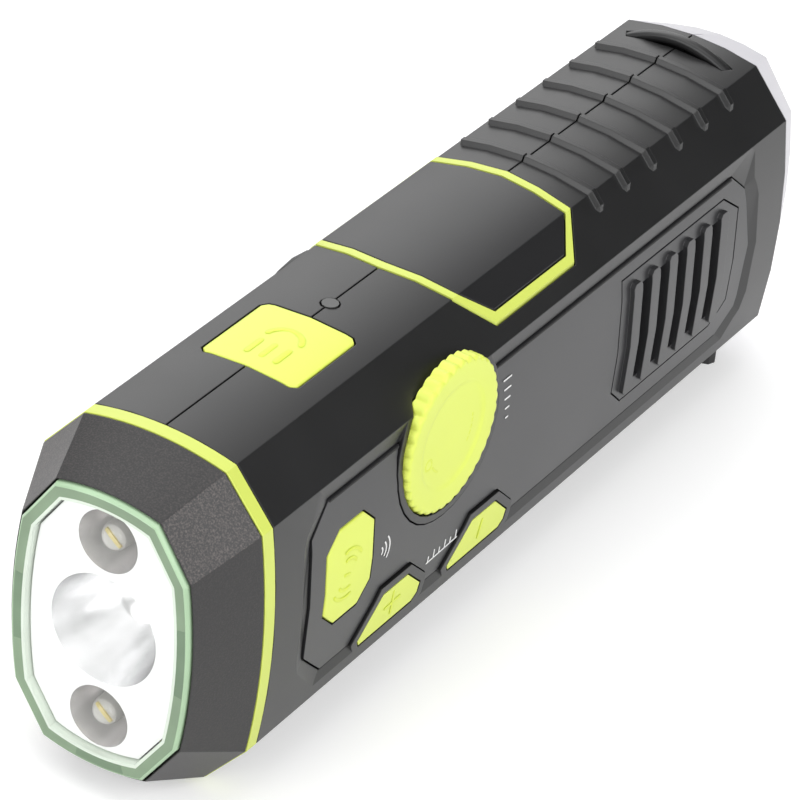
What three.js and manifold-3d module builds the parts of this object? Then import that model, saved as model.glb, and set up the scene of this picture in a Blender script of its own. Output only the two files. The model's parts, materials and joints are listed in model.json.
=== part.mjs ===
// Hand crank flashlight with radio, siren and tail lamp, as an assembly of separate pieces.
// Millimetres. X runs across the lamp with the radio dial on +X, Y runs from the front lens
// to the tail lamp, Z is up. The pieces are modelled with Y = 0 at the lens face and Z = 0 in
// the middle of the case, and the last lines set the lamp down on its feet.

import * as THREE from 'three';
import { mergeVertices } from 'three/addons/utils/BufferGeometryUtils.js';
import Module from 'manifold-3d';

const wasm = await Module();
wasm.setup();

// Facets of round pieces
const pinSteps = 8; // sides of screws, pins, posts, feet and their holes
const smallSteps = 12; // of small round pieces
const roundSteps = 16;
const hubSteps = 24;

// Clearances shared by all pieces
const fitGap = 0.3; // round a piece that is let into another
const partingGap = 0.15; // between two fixed pieces that meet along a line
const seatGap = 0.05; // between a part and the flat that it is fixed on
const overrun = 2; // how far a cutting shape runs past what it cuts
const mergeTolerance = 0.0001;

// Case: an eight-sided section with crowned long sides
const caseSection = { halfWidth: 21.2, halfHeight: 30, topFlat: 13.66, sideFlat: 21.2, crown: 1.7 };
const frontSection = { halfWidth: 15.94, halfHeight: 24.87, topFlat: 9.78, sideFlat: 15.85, crown: 1.3 };
const tailSection = { halfWidth: 16.7, halfHeight: 25.7, topFlat: 10, sideFlat: 16.6, crown: 1.3 };
const crownSteps = 4;
const bezelLength = 13.2; // lens face to the coloured ring
const ringLength = 2.8;
const shellLength = 170.4;
const tailLength = 11.6;
const wall = 2.4;
const seamGap = 0.3; // between the left and right shells
const overallLength = bezelLength + ringLength + shellLength + tailLength;
const ringFront = bezelLength;
const shellFront = ringFront + ringLength;
const shellRear = shellFront + shellLength;

// Front end
const lensThickness = 1.2;
const lensRimWidth = 2.7;
const lensRimDepth = 3.6;
const bezelSetback = 0.9; // the lens stands proud of the bezel by this much
const bezelWall = 2.2;
const tongueThickness = 1.5; // of the spigots that enter the shells
const tongueLength = 5;
const reflectorThickness = 1.1;
const mainCup = { radius: 10.2, throat: 3.4, depth: 13.2, steps: 20 };
const sideCup = { radius: 5.7, throat: 2.9, depth: 7.4, inset: 7.77, steps: 14 };
const sideCupOffset = frontSection.halfHeight - sideCup.inset; // of each small cup from the middle
const cupWall = 0.9;
const cupRings = 3;
const boardThickness = 1.6;
const ledBoardSetback = 17.4;
const mainLed = { halfSide: 2.5, height: 1.2, domeRadius: 1.9 };
const roundLed = {
  radius: 2.5, flangeRadius: 2.9, flangeThickness: 1, length: 6.1, leadSide: 0.6, leadSpread: 1.27,
};
const ledSteps = 8;
const rearLedOffset = 9.5; // of each tail lamp from the middle

// Grip ribs over the rear top
const rib = {
  count: 6, firstY: 125.9, pitch: 9.43, width: 2.2, height: 0.85, slope: 0.5,
  leftReach: 13, rightReach: 16.1,
};

// Lanyard slot with its arched bar
const slot = {
  frontY: 179.2, rearY: 183.7, bow: 2.2, halfLength: 11.4, corner: 1.2, depth: 7.2, wall: 1.6, steps: 6,
};
const bar = { width: 2.2, thickness: 1.9, crest: 1.9, endDrop: 2.6, setback: 0.5, steps: 12 };

// Feet
const foot = { radius: 2, offsetX: 13.6, offsetY: 182, drop: 2 };

// Light button on top and the charge light behind it
const lightButton = { centreY: 48.1, halfWidth: 9.25, halfLength: 9.4, corner: 1, raise: 0.25, travel: 1 };
const buttonFlange = { width: 1.1, thickness: 1 };
const chargeLight = { centreY: 63.3, radius: 1.5, raise: 0.1 };
const topBoard = { halfWidth: 12, frontMargin: 5.5, rearMargin: 4.7, postRadius: 1.8, postInset: 2 };
const topBoardFront = lightButton.centreY - lightButton.halfLength - topBoard.frontMargin;
const topBoardRear = chargeLight.centreY + topBoard.rearMargin;
const tactSwitch = { halfSide: 3, height: 2.4, plungerRadius: 1.6, plungerHeight: 0.6 };
const pressGap = 0.1; // left under a button that is pressed right down

// Saddle panel over the top with its coloured outline. Its outline bends at the edges of the
// flat top and ends part of the way down the upper chamfers. The edge and end shares, of the
// front and the rear, are of half its length.
const saddle = { centreY: 99, halfLength: 20.8, trimWidth: 1.95, trimLowWidth: 1.2 };
const saddleReachShare = 0.682; // of the chamfers' width
const saddleSink = 1.2; // depth of the recess that the panel lies in
const saddleRaise = 0.1;
const trimRaise = 0.15;
const saddleEdgeShares = [-0.915, 0.945];
const saddleEndShares = [-0.59, 0.65];

// Control panel on the right side. Outline as shares of its half length and half height.
const panel = { centreY: 101.05, halfLength: 73.65, centreZ: 0.55, halfHeight: 17.1 };
const panelSink = 0.9;
const panelThickness = 1.3;
const panelBacking = 1.4;
const panelShares = [
  [-1, 0.71], [-0.93, 1], [0.89, 1], [0.958, 0.75], [1, 0], [0.985, -0.78],
  [0.91, -1], [-0.91, -1], [-1, -0.64],
];
const panelBevel = { width: 2.3, runShare: 0.3 }; // the cut runs on past the surface by this share
const bevelShares = [
  [-1, 0.74], [-0.945, 1.06], [0.95, 1.06], [0.97, 0.74], [1, 0], [0.985, -0.78],
  [0.915, -1], [-0.915, -1], [-1, -0.66],
];
const sirenButton = { centreY: 39, centreZ: 1.4, halfLength: 7, halfHeight: 9.2, cutY: 3.5, cutZ: 3.3 };
const tuningButton = {
  centreZ: -14.4, halfLength: 9.3, halfHeight: 3.8, upY: 54.3, downY: 82.4, islandWidth: 1.8,
};
const tuningShares = [
  [-0.37, 1], [0.45, 1], [1, -0.2], [0.97, -0.72], [0.82, -1], [-0.94, -1], [-1, -0.72],
];
const sideTravel = 0.8;
const sideRaise = 0.15;
const sideFlangeInset = 4.1; // from the case corner line in to the flanges' outer faces
const sidePressGap = 0.25; // left under a side button that is pressed right down
const sideFlangeFace = caseSection.halfWidth - sideFlangeInset;

// Radio dial, a thumb wheel that stands out of the side and of the upper chamfer
const dial = {
  centreY: 68.7, centreZ: 12.2, radius: 14.05, stand: 1.4, thickness: 2.8, scallops: 36, scallopDepth: 0.45,
};
const dialFace = caseSection.halfWidth + dial.stand;
const dialDish = { radius: 9.6, depth: 0.5 };
const dialBevel = 0.8;
const dialShaft = { radius: 2.5, steps: 12 };
const dialWell = { gap: 0.5, lip: 1.3, floor: 1.5, steps: 32 };
const volumeControl = { halfSide: 5.4, length: 5.4, bottom: 1.2 };

// Speaker and its grille
const grille = { centreY: 147.9, halfLength: 21.2, centreZ: 1.1, halfHeight: 13.4 };
const grilleShares = [
  [-1, -0.72], [-0.8, -1], [0.74, -1], [0.99, -0.75], [1, 0.7], [0.74, 1], [-1, 1],
];
const grilleBar = { margin: 4.3, pitch: 6.34, width: 3, halfHeight: 11.6, raise: 1.3 };
const barFirstY = grille.centreY - grille.halfLength + grilleBar.margin;
const barCount = Math.floor(2 * (grille.halfLength - grilleBar.margin) / grilleBar.pitch) + 1;
const grilleThickness = 1.3;
const speaker = {
  centreY: 147.2, centreZ: 1.4, radius: 17.3, flange: 1.6, coneDepth: 4.6, magnetRadius: 9,
};
const speakerSeat = { ring: 2, standOff: 4.2 };
const speakerFront = caseSection.halfWidth - speakerSeat.standOff;
const basketBack = speakerFront - speaker.flange - speaker.coneDepth;
const magnetDepthShare = 0.225; // of the room between the gear plate and the speaker's basket
const speakerSteps = 24;

// Main circuit board behind the side buttons, whose switches stand on its face
const mainBoard = { front: 33, rear: 122, bottom: -23, top: 20.4, postRadius: 2, postInset: 3.6 };
const mainBoardFace = sideFlangeFace - buttonFlange.thickness - sideTravel - sidePressGap
  - tactSwitch.plungerHeight - tactSwitch.height - seatGap;
const mainBoardBack = mainBoardFace - boardThickness;

// Battery, behind the lower front case screw and beside the main board
const battery = {
  radius: 7.1, length: 50, screwGap: 3.1, boardGap: 1.8, centreZ: -14.2, capRadius: 2.6, capLength: 1,
};
const cradle = { thickness: 2, inset: 9 };

// Crank with its folding handle, on the left side
const crankY = 92.5;
const dish = { radius: 56.5, depth: 1.7, steps: 36 }; // depth from the corner line
const crankGap = 0.3;
const crankHub = { radius: 17, height: 6.5, bevel: 0.4 };
const crankArm = { length: 46, rootHalfWidth: 9.4, tipRadius: 8.2, thickness: 5.9 };
const handle = {
  gripRadius: 3, gripLength: 23, stemRadius: 1.5, rootRadius: 3.1, headRadius: 2.7, headLength: 1.4,
};
const handlePin = { radius: 1.1, headRadius: 1.8, headDepth: 0.8 };
const windowGap = 0.9; // finger room beside the folded grip
const crankShaft = { radius: 3, endRadius: 2 };
const crankBush = { radius: 4.6 };
const crankScrew = { headRadius: 3.4, headHeight: 1.4, radius: 1.2, length: 6 };
const hubCap = { radius: 7.4, thickness: 1.2 };

// Gear train: face width and place across the lamp of each of its three layers
const pressureAngle = 20; // degrees
const backlashShare = 0.1; // of the module, taken off each tooth
const gearWindows = 5; // round windows in the drive gear's web
const addendumShare = 0.8;
const dedendumShare = 1.15;
const driveStage = { module: 0.9, wheelTeeth: 36, pinionTeeth: 12, width: 2.6, aim: -20 };
const middleStage = { module: 0.75, wheelTeeth: 32, pinionTeeth: 12, width: 2.2, aim: 25 };
const lastStage = { module: 0.65, wheelTeeth: 28, pinionTeeth: 12, width: 1.9, aim: -3 };
const layerGap = 0.4;
const axleRadius = 1;
const gearPlate = { thickness: 1.4, margin: 3.4, pillarRadius: 2.4, frontHoleZ: 21.4, rearHoleZ: 14 };
const plateScrew = { radius: 1, headRadius: 2, headHeight: 1.2, length: 6 };
const dynamo = {
  radius: 12, ring: 1.6, rotorRadius: 5.6, airGap: 0.4, poles: 6, poleWidth: 3.4, shaft: 1,
};
const dynamoWidthShare = 0.483; // of the room between the gear plate and the speaker's basket
const poleInsetShare = 0.19; // of the stator's width, at both ends of its poles

// Case screws, driven in from the left
const caseScrew = {
  radius: 1.5, headRadius: 2.8, headHeight: 1.9, length: 24, seatDepth: 4.8, pillarRadius: 3.4,
};
const screwSeat = caseScrew.seatDepth - caseSection.halfWidth;
const screwFrontY = 27.5;
const screwRearY = 175.2;
const screwZ = 17;

// Charging socket under its rubber cover, on the left near the tail
const socket = { centreY: 163, halfLength: 3.8, halfHeight: 1.4, depth: 5.4, wall: 0.4 };
const cover = { front: 156.5, hingeY: 170.5, halfHeight: 5, thickness: 1.6, depth: 0.5, plugLength: 0.8 };
const coverFloor = cover.depth - caseSection.halfWidth;
const socketBoard = { halfLength: 8, halfHeight: 9, postRadius: 1.8 };

// Materials
function finish(color, roughness, metalness = 0) {
  return new THREE.MeshStandardMaterial({ color, roughness, metalness });
}
const blackPlastic = finish(0x2e2d30, 0.5);
const texturedPlastic = finish(0x3a383a, 0.7);
const greyPanel = finish(0x47464a, 0.55);
const limePlastic = finish(0xd8ee3c, 0.45);
const clearPlastic = finish(0xcfe8cc, 0.1);
const whitePlastic = finish(0xf2f2f0, 0.35);
const tailPlastic = finish(0xdcdce2, 0.3);
const boardGreen = finish(0x2f6b45, 0.6);
const steel = finish(0xb9bcc0, 0.3, 1);
const brass = finish(0xc7a452, 0.35, 1);
const whiteNylon = finish(0xe8e6df, 0.5);
const magnetGrey = finish(0x55565a, 0.45, 0.6);
const rubber = finish(0x252525, 0.85);
const cellWrap = finish(0x2f7f58, 0.4);

// Solids: closed three.js geometry made ready for cutting and joining
function solidOf(geometry) {
  geometry.deleteAttribute('normal');
  geometry.deleteAttribute('uv');
  const merged = mergeVertices(geometry, mergeTolerance);
  const position = merged.attributes.position;
  const index = merged.index.array;
  const triangles = [];
  const [a, b, c] = [new THREE.Vector3(), new THREE.Vector3(), new THREE.Vector3()];
  let volume = 0;
  for (let i = 0; i < index.length; i += 3) {
    const [p, q, r] = [index[i], index[i + 1], index[i + 2]];
    if (p === q || q === r || r === p) continue;
    triangles.push([p, q, r]);
    a.fromBufferAttribute(position, p);
    b.fromBufferAttribute(position, q);
    c.fromBufferAttribute(position, r);
    volume += a.dot(b.cross(c));
  }
  if (volume < 0) triangles.forEach((triangle) => triangle.reverse());
  return new wasm.Manifold(new wasm.Mesh({
    numProp: 3,
    vertProperties: new Float32Array(position.array),
    triVerts: new Uint32Array(triangles.flat()),
  }));
}

function join(solids) {
  return solids.reduce((whole, solid) => whole.add(solid));
}

function cut(solid, cutters) {
  return cutters.reduce((rest, cutter) => rest.subtract(cutter), solid);
}

// Outlines are lists of [first, second] points: (y, z) along X, (x, z) along Y, (x, y) along Z
const axisX = new THREE.Vector3(1, 0, 0);
const axisY = new THREE.Vector3(0, 1, 0);
const axisZ = new THREE.Vector3(0, 0, 1);
const bases = { x: [axisY, axisZ, axisX], y: [axisZ, axisX, axisY], z: [axisX, axisY, axisZ] };

function prism(axis, outline, from, to) {
  const points = outline.map(
    ([u, v]) => (axis === 'y' ? new THREE.Vector2(v, u) : new THREE.Vector2(u, v)),
  );
  const geometry = new THREE.ExtrudeGeometry(new THREE.Shape(points), {
    depth: to - from, bevelEnabled: false,
  });
  geometry.translate(0, 0, from);
  geometry.applyMatrix4(new THREE.Matrix4().makeBasis(...bases[axis]));
  return solidOf(geometry);
}

// A body through several outlines of equal point count, each at its place along the axis.
// A point with a third number has a place of its own.
function loft(axis, sections) {
  const basis = new THREE.Matrix4().makeBasis(...bases[axis]);
  const flat = sections[0].outline.map(([u, v]) => new THREE.Vector2(u, v));
  const clockwise = THREE.ShapeUtils.isClockWise(flat);
  if (clockwise) flat.reverse();
  const count = flat.length;
  const positions = [];
  const index = [];
  for (const { outline, at } of sections) {
    for (const [u, v, place = at] of clockwise ? [...outline].reverse() : outline) {
      const local = axis === 'y' ? new THREE.Vector3(v, u, place) : new THREE.Vector3(u, v, place);
      positions.push(...local.applyMatrix4(basis).toArray());
    }
  }
  for (let s = 0; s + 1 < sections.length; s += 1) {
    for (let i = 0; i < count; i += 1) {
      const next = (i + 1) % count;
      const [p, q] = [s * count + i, s * count + next];
      index.push(p, q, q + count, p, q + count, p + count);
    }
  }
  const last = (sections.length - 1) * count;
  for (const [p, q, r] of THREE.ShapeUtils.triangulateShape(flat, [])) {
    index.push(q, p, r, last + p, last + q, last + r);
  }
  const geometry = new THREE.BufferGeometry();
  geometry.setAttribute('position', new THREE.Float32BufferAttribute(positions, 3));
  geometry.setIndex(index);
  return solidOf(geometry);
}

function block(x0, x1, y0, y1, z0, z1) {
  const geometry = new THREE.BoxGeometry(x1 - x0, y1 - y0, z1 - z0);
  geometry.translate((x0 + x1) / 2, (y0 + y1) / 2, (z0 + z1) / 2);
  return solidOf(geometry);
}

function alignToAxis(geometry, axis) {
  if (axis === 'x') geometry.rotateZ(-Math.PI / 2);
  if (axis === 'z') geometry.rotateX(Math.PI / 2);
  return geometry;
}

// A round bar. The centre gives its two other coordinates in X, Y, Z order.
function rod(axis, radius, from, to, [c1, c2] = [0, 0], steps = roundSteps) {
  const geometry = new THREE.CylinderGeometry(radius, radius, to - from, steps);
  alignToAxis(geometry, axis);
  const middle = (from + to) / 2;
  if (axis === 'x') geometry.translate(middle, c1, c2);
  if (axis === 'y') geometry.translate(c1, middle, c2);
  if (axis === 'z') geometry.translate(c1, c2, middle);
  return solidOf(geometry);
}

// A body of revolution from [radius, place along the axis] points
function turned(axis, profile, [c1, c2] = [0, 0], steps = roundSteps) {
  const points = profile.map(([r, along]) => new THREE.Vector2(r, along));
  const geometry = new THREE.LatheGeometry(points, steps);
  alignToAxis(geometry, axis);
  if (axis === 'x') geometry.translate(0, c1, c2);
  if (axis === 'y') geometry.translate(c1, 0, c2);
  if (axis === 'z') geometry.translate(c1, c2, 0);
  return solidOf(geometry);
}

// Outline helpers
function crownedSide([u0, v0], [u1, v1], crown) {
  const length = Math.hypot(u1 - u0, v1 - v0);
  const [nu, nv] = [(v1 - v0) / length, (u0 - u1) / length];
  const points = [];
  for (let i = 0; i <= crownSteps; i += 1) {
    const t = i / crownSteps;
    const rise = crown * (1 - (2 * t - 1) ** 2);
    points.push([u0 + (u1 - u0) * t + nu * rise, v0 + (v1 - v0) * t + nv * rise]);
  }
  return points;
}

function sectionOutline(section, inset = 0) {
  const slant = new THREE.Vector2(
    section.halfHeight - section.sideFlat, section.halfWidth - section.topFlat,
  );
  slant.normalize();
  const halfWidth = section.halfWidth - inset;
  const halfHeight = section.halfHeight - inset;
  const reach = slant.x * section.topFlat + slant.y * section.halfHeight - inset;
  const topFlat = (reach - slant.y * halfHeight) / slant.x;
  const sideFlat = (reach - slant.x * halfWidth) / slant.y;
  return [
    ...crownedSide([halfWidth, -sideFlat], [halfWidth, sideFlat], section.crown),
    ...crownedSide([topFlat, halfHeight], [-topFlat, halfHeight], section.crown),
    ...crownedSide([-halfWidth, sideFlat], [-halfWidth, -sideFlat], section.crown),
    ...crownedSide([-topFlat, -halfHeight], [topFlat, -halfHeight], section.crown),
  ];
}

function caseBody(inset, from = shellFront - overrun, to = shellRear + overrun) {
  return prism('y', sectionOutline(caseSection, inset), from, to);
}

// Everything between two insets of the case's surface
function caseSkin(outerInset, innerInset) {
  return caseBody(outerInset).subtract(caseBody(
    innerInset, shellFront - 2 * overrun, shellRear + 2 * overrun,
  ));
}

function offsetOutline(points, distance) {
  const count = points.length;
  const area = THREE.ShapeUtils.area(points.map(([u, v]) => new THREE.Vector2(u, v)));
  const side = Math.sign(area) * distance;
  return points.map((point, i) => {
    const before = points[(i + count - 1) % count];
    const after = points[(i + 1) % count];
    const d0 = new THREE.Vector2(point[0] - before[0], point[1] - before[1]).normalize();
    const d1 = new THREE.Vector2(after[0] - point[0], after[1] - point[1]).normalize();
    const bisector = new THREE.Vector2(d0.y + d1.y, -d0.x - d1.x).normalize();
    const reach = side / (bisector.x * d1.y - bisector.y * d1.x);
    return [point[0] + bisector.x * reach, point[1] + bisector.y * reach];
  });
}

function sharedOutline(shares, centreU, halfU, centreV, halfV) {
  return shares.map(([u, v]) => [centreU + u * halfU, centreV + v * halfV]);
}

function cutCorners(centreU, centreV, halfU, halfV, cutU, cutV) {
  const quarter = [[halfU - cutU, halfV], [halfU, halfV - cutV]];
  const [upper, lower] = quarter;
  return [
    [centreU - upper[0], centreV + upper[1]], [centreU + upper[0], centreV + upper[1]],
    [centreU + lower[0], centreV + lower[1]], [centreU + lower[0], centreV - lower[1]],
    [centreU + upper[0], centreV - upper[1]], [centreU - upper[0], centreV - upper[1]],
    [centreU - lower[0], centreV - lower[1]], [centreU - lower[0], centreV + lower[1]],
  ];
}

function crownHeight(half, flat, offset) {
  return half + caseSection.crown * (1 - (offset / flat) ** 2);
}
const sideAt = (z) => crownHeight(caseSection.halfWidth, caseSection.sideFlat, z);
const topAt = (x) => crownHeight(caseSection.halfHeight, caseSection.topFlat, x);
const caseTop = topAt(0);

// The lamp as a scene graph
const lamp = new THREE.Group();
const crankGroup = new THREE.Group();
crankGroup.position.set(0, crankY, 0);
lamp.add(crankGroup);

function addPiece(name, solid, material, parent = lamp) {
  const { vertProperties, triVerts } = solid.getMesh();
  const geometry = new THREE.BufferGeometry();
  geometry.setAttribute('position', new THREE.BufferAttribute(new Float32Array(vertProperties), 3));
  geometry.setIndex(new THREE.BufferAttribute(new Uint32Array(triVerts), 1));
  geometry.computeVertexNormals();
  const mesh = new THREE.Mesh(geometry, material);
  mesh.name = name;
  parent.add(mesh);
  return mesh;
}

// Layers of the left side, from the dish inwards. All are negative X.
const dishFloor = dish.depth - caseSection.halfWidth;
const hubFace = dishFloor - crankHub.height;
const dishInner = dishFloor + wall;
const driveLayer = dishInner + 2 * layerGap;
const middleLayer = driveLayer + driveStage.width + layerGap;
const lastLayer = middleLayer + middleStage.width + layerGap;
const plateFace = lastLayer + lastStage.width + layerGap;
const plateBack = plateFace + gearPlate.thickness;
const dynamoWidth = dynamoWidthShare * (basketBack - plateBack);
const poleInset = poleInsetShare * dynamoWidth;

// Gear axes in the YZ plane
function pitchRadius(stage, teeth) {
  return (stage.module * teeth) / 2;
}
function nextAxis([y, z], stage) {
  const distance = pitchRadius(stage, stage.wheelTeeth + stage.pinionTeeth);
  const aim = THREE.MathUtils.degToRad(stage.aim);
  return [y + distance * Math.cos(aim), z + distance * Math.sin(aim)];
}
const crankAxis = [crankY, 0];
const gearAxis1 = nextAxis(crankAxis, driveStage);
const gearAxis2 = nextAxis(gearAxis1, middleStage);
const rotorAxis = nextAxis(gearAxis2, lastStage);
const plateHoles = [
  [crankY - gearPlate.pillarRadius, gearPlate.frontHoleZ],
  [crankY - gearPlate.pillarRadius, -gearPlate.frontHoleZ],
  [rotorAxis[0] + dynamo.radius, gearPlate.rearHoleZ],
];

const batteryFront = screwFrontY + caseScrew.pillarRadius + battery.screwGap;
const batteryRear = batteryFront + battery.length;
const batteryX = mainBoardBack - battery.boardGap - battery.radius;

// Tooth outline about the origin: a root and a tip point on both flanks of each tooth
function gearOutline(stage, teeth, turn) {
  const pitch = pitchRadius(stage, teeth);
  const tip = pitch + addendumShare * stage.module;
  const root = pitch - dedendumShare * stage.module;
  const pressure = THREE.MathUtils.degToRad(pressureAngle);
  const base = pitch * Math.cos(pressure);
  const involute = (radius) => {
    const alpha = Math.acos(Math.min(1, base / Math.max(radius, base)));
    return Math.tan(alpha) - alpha;
  };
  const halfThickness = Math.PI / (2 * teeth) - (backlashShare * stage.module) / (2 * pitch);
  const halfAngle = (radius) => halfThickness + involute(pitch) - involute(radius);
  const points = [];
  for (let i = 0; i < teeth; i += 1) {
    const middle = turn + (2 * Math.PI * i) / teeth;
    const flank = [[root, halfAngle(base)], [tip, halfAngle(tip)]];
    const rising = flank.map(([r, half]) => [r * Math.cos(middle - half), r * Math.sin(middle - half)]);
    const falling = flank.map(([r, half]) => [r * Math.cos(middle + half), r * Math.sin(middle + half)]);
    points.push(...rising, ...falling.reverse());
  }
  return points;
}

// Turn of a follower's first tooth so that it meshes with a gear whose first tooth is at turn
function meshTurn(stage, turn) {
  const aim = THREE.MathUtils.degToRad(stage.aim);
  const phase = (stage.wheelTeeth * (aim - turn)) / (2 * Math.PI);
  return aim + Math.PI - (2 * Math.PI * (1 / 2 - phase)) / stage.pinionTeeth;
}

// Plan outline of the saddle panel: the half outline and its mirror image
function saddleOutline(insetX, insetY) {
  const edge = caseSection.topFlat;
  const reach = edge + saddleReachShare * (caseSection.halfWidth - edge) - insetX;
  const half = saddle.halfLength - insetY;
  const [edgeFront, edgeRear] = saddleEdgeShares;
  const [endFront, endRear] = saddleEndShares;
  const right = [
    [0, -1], [edge, edgeFront], [reach, endFront], [reach, endRear], [edge, edgeRear], [0, 1],
  ].map(([x, share]) => [x, saddle.centreY + share * half]);
  const left = right.slice(1, -1).reverse().map(([x, y]) => [-x, y]);
  return [...right, ...left];
}

const panelOutline = sharedOutline(
  panelShares, panel.centreY, panel.halfLength, panel.centreZ, panel.halfHeight,
);
const bevelOutline = sharedOutline(
  bevelShares, panel.centreY, panel.halfLength + panelBevel.width, panel.centreZ,
  panel.halfHeight + panelBevel.width,
);
const grilleOutline = sharedOutline(
  grilleShares, grille.centreY, grille.halfLength, grille.centreZ, grille.halfHeight,
);
const sirenOutline = cutCorners(
  sirenButton.centreY, sirenButton.centreZ, sirenButton.halfLength, sirenButton.halfHeight,
  sirenButton.cutY, sirenButton.cutZ,
);
function tuningOutline(centreY) {
  return sharedOutline(
    tuningShares, centreY, tuningButton.halfLength, tuningButton.centreZ, tuningButton.halfHeight,
  );
}
const tuningCentres = [tuningButton.upY, tuningButton.downY];

// The light button's flange lies under the shell, and its switch stands one stroke below that
const flangeTop = caseSection.halfHeight - wall - fitGap;
const topBoardFace = flangeTop - buttonFlange.thickness - lightButton.travel - pressGap
  - tactSwitch.plungerHeight - tactSwitch.height - seatGap;

// Shell features shared by both halves
const lightOutline = cutCorners(
  0, lightButton.centreY, lightButton.halfWidth, lightButton.halfLength, lightButton.corner,
  lightButton.corner,
);
const beyondSide = sideAt(0) + overrun;
const beyondTop = caseTop + rib.height + overrun;
const slotFloor = caseTop - slot.depth;
const dialCentre = [dial.centreY, dial.centreZ];
const wellRadius = dial.radius + dialWell.gap;
const lipRadius = wellRadius + dialWell.lip;
const dialBack = dialFace - dial.thickness;
const wellFloor = dialBack - fitGap;
const wellBack = wellFloor - dialWell.floor;

function ribSolid(centreY) {
  const half = rib.width / 2;
  const low = sectionOutline(caseSection, 0);
  const high = sectionOutline(caseSection, -rib.height);
  const hoop = loft('y', [
    { outline: low, at: centreY - half },
    { outline: high, at: centreY - half + rib.slope },
    { outline: high, at: centreY + half - rib.slope },
    { outline: low, at: centreY + half },
  ]);
  const reach = (rib.leftReach + rib.rightReach) / 2;
  const plan = cutCorners(rib.rightReach - reach, centreY, reach, half, half / 2, half / 2);
  return hoop.intersect(prism('z', plan, 0, beyondTop));
}

// The slot in plan: a straight front edge and a bowed rear edge
function slotOutline(grow) {
  const rear = Array.from({ length: slot.steps + 1 }, (_, i) => {
    const t = 1 - (2 * i) / slot.steps;
    return [slot.halfLength * t, slot.rearY - slot.bow * t ** 2];
  });
  const corner = slot.halfLength - slot.corner;
  return offsetOutline([...rear, [-corner, slot.frontY], [corner, slot.frontY]], grow);
}

function footSolid(side) {
  const bottom = -caseSection.halfHeight - foot.drop;
  return rod(
    'z', foot.radius, bottom, bottom + caseSection.halfHeight / 2, [side * foot.offsetX, foot.offsetY],
    pinSteps,
  )
    .subtract(caseBody(wall / 2));
}

const ribCentres = Array.from({ length: rib.count }, (_, i) => rib.firstY + i * rib.pitch);
const screwPlaces = [
  [screwFrontY, screwZ], [screwFrontY, -screwZ], [screwRearY, screwZ], [screwRearY, -screwZ],
];
const boardPosts = [
  [mainBoard.front + mainBoard.postInset, mainBoard.top - mainBoard.postInset],
  [mainBoard.front + mainBoard.postInset, mainBoard.bottom + mainBoard.postInset],
  [mainBoard.rear - mainBoard.postInset, mainBoard.top - mainBoard.postInset],
  [mainBoard.rear - mainBoard.postInset, mainBoard.bottom + mainBoard.postInset],
];
const topPosts = [topBoardFront + topBoard.postInset, topBoardRear - topBoard.postInset];
const topPostX = topBoard.halfWidth - topBoard.postInset;

function caseBlank() {
  const outer = caseBody(0, shellFront + partingGap, shellRear - partingGap);
  return join([outer, ...ribCentres.map(ribSolid), footSolid(-1), footSolid(1)]);
}

function sharedCuts() {
  const saddleCut = prism('z', offsetOutline(saddleOutline(0, 0), fitGap), 0, beyondTop)
    .subtract(caseBody(saddleSink));
  const buttonHole = prism('z', offsetOutline(lightOutline, fitGap), topBoardFace, beyondTop);
  const lightHole = rod(
    'z', chargeLight.radius + fitGap, topBoardFace, beyondTop, [0, chargeLight.centreY], smallSteps,
  );
  const lanyardSlot = prism('z', slotOutline(0), slotFloor, beyondTop);
  return [saddleCut, buttonHole, lightHole, lanyardSlot];
}

// What stays inside the cavity on both sides: the slot's tub and the posts of the top board
function sharedInside() {
  const tub = prism('z', slotOutline(slot.wall), slotFloor - slot.wall, beyondTop);
  const posts = [];
  for (const y of topPosts) {
    for (const x of [-topPostX, topPostX]) {
      posts.push(rod('z', topBoard.postRadius, topBoardFace + fitGap, caseTop, [x, y], pinSteps));
    }
  }
  return [tub, ...posts];
}

function shellHalf(side, inside, cutters) {
  const cavity = caseBody(wall);
  const kept = join([...sharedInside(), ...inside]).intersect(caseBody(wall / 2));
  const hollow = caseBlank().subtract(cavity);
  const half = side < 0
    ? block(-beyondSide, -seamGap / 2, -overrun, overallLength, -beyondTop, beyondTop)
    : block(seamGap / 2, beyondSide, -overrun, overallLength, -beyondTop, beyondTop);
  return cut(hollow.add(kept), [...sharedCuts(), ...cutters]).add(lanyardBar()).intersect(half);
}

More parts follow.
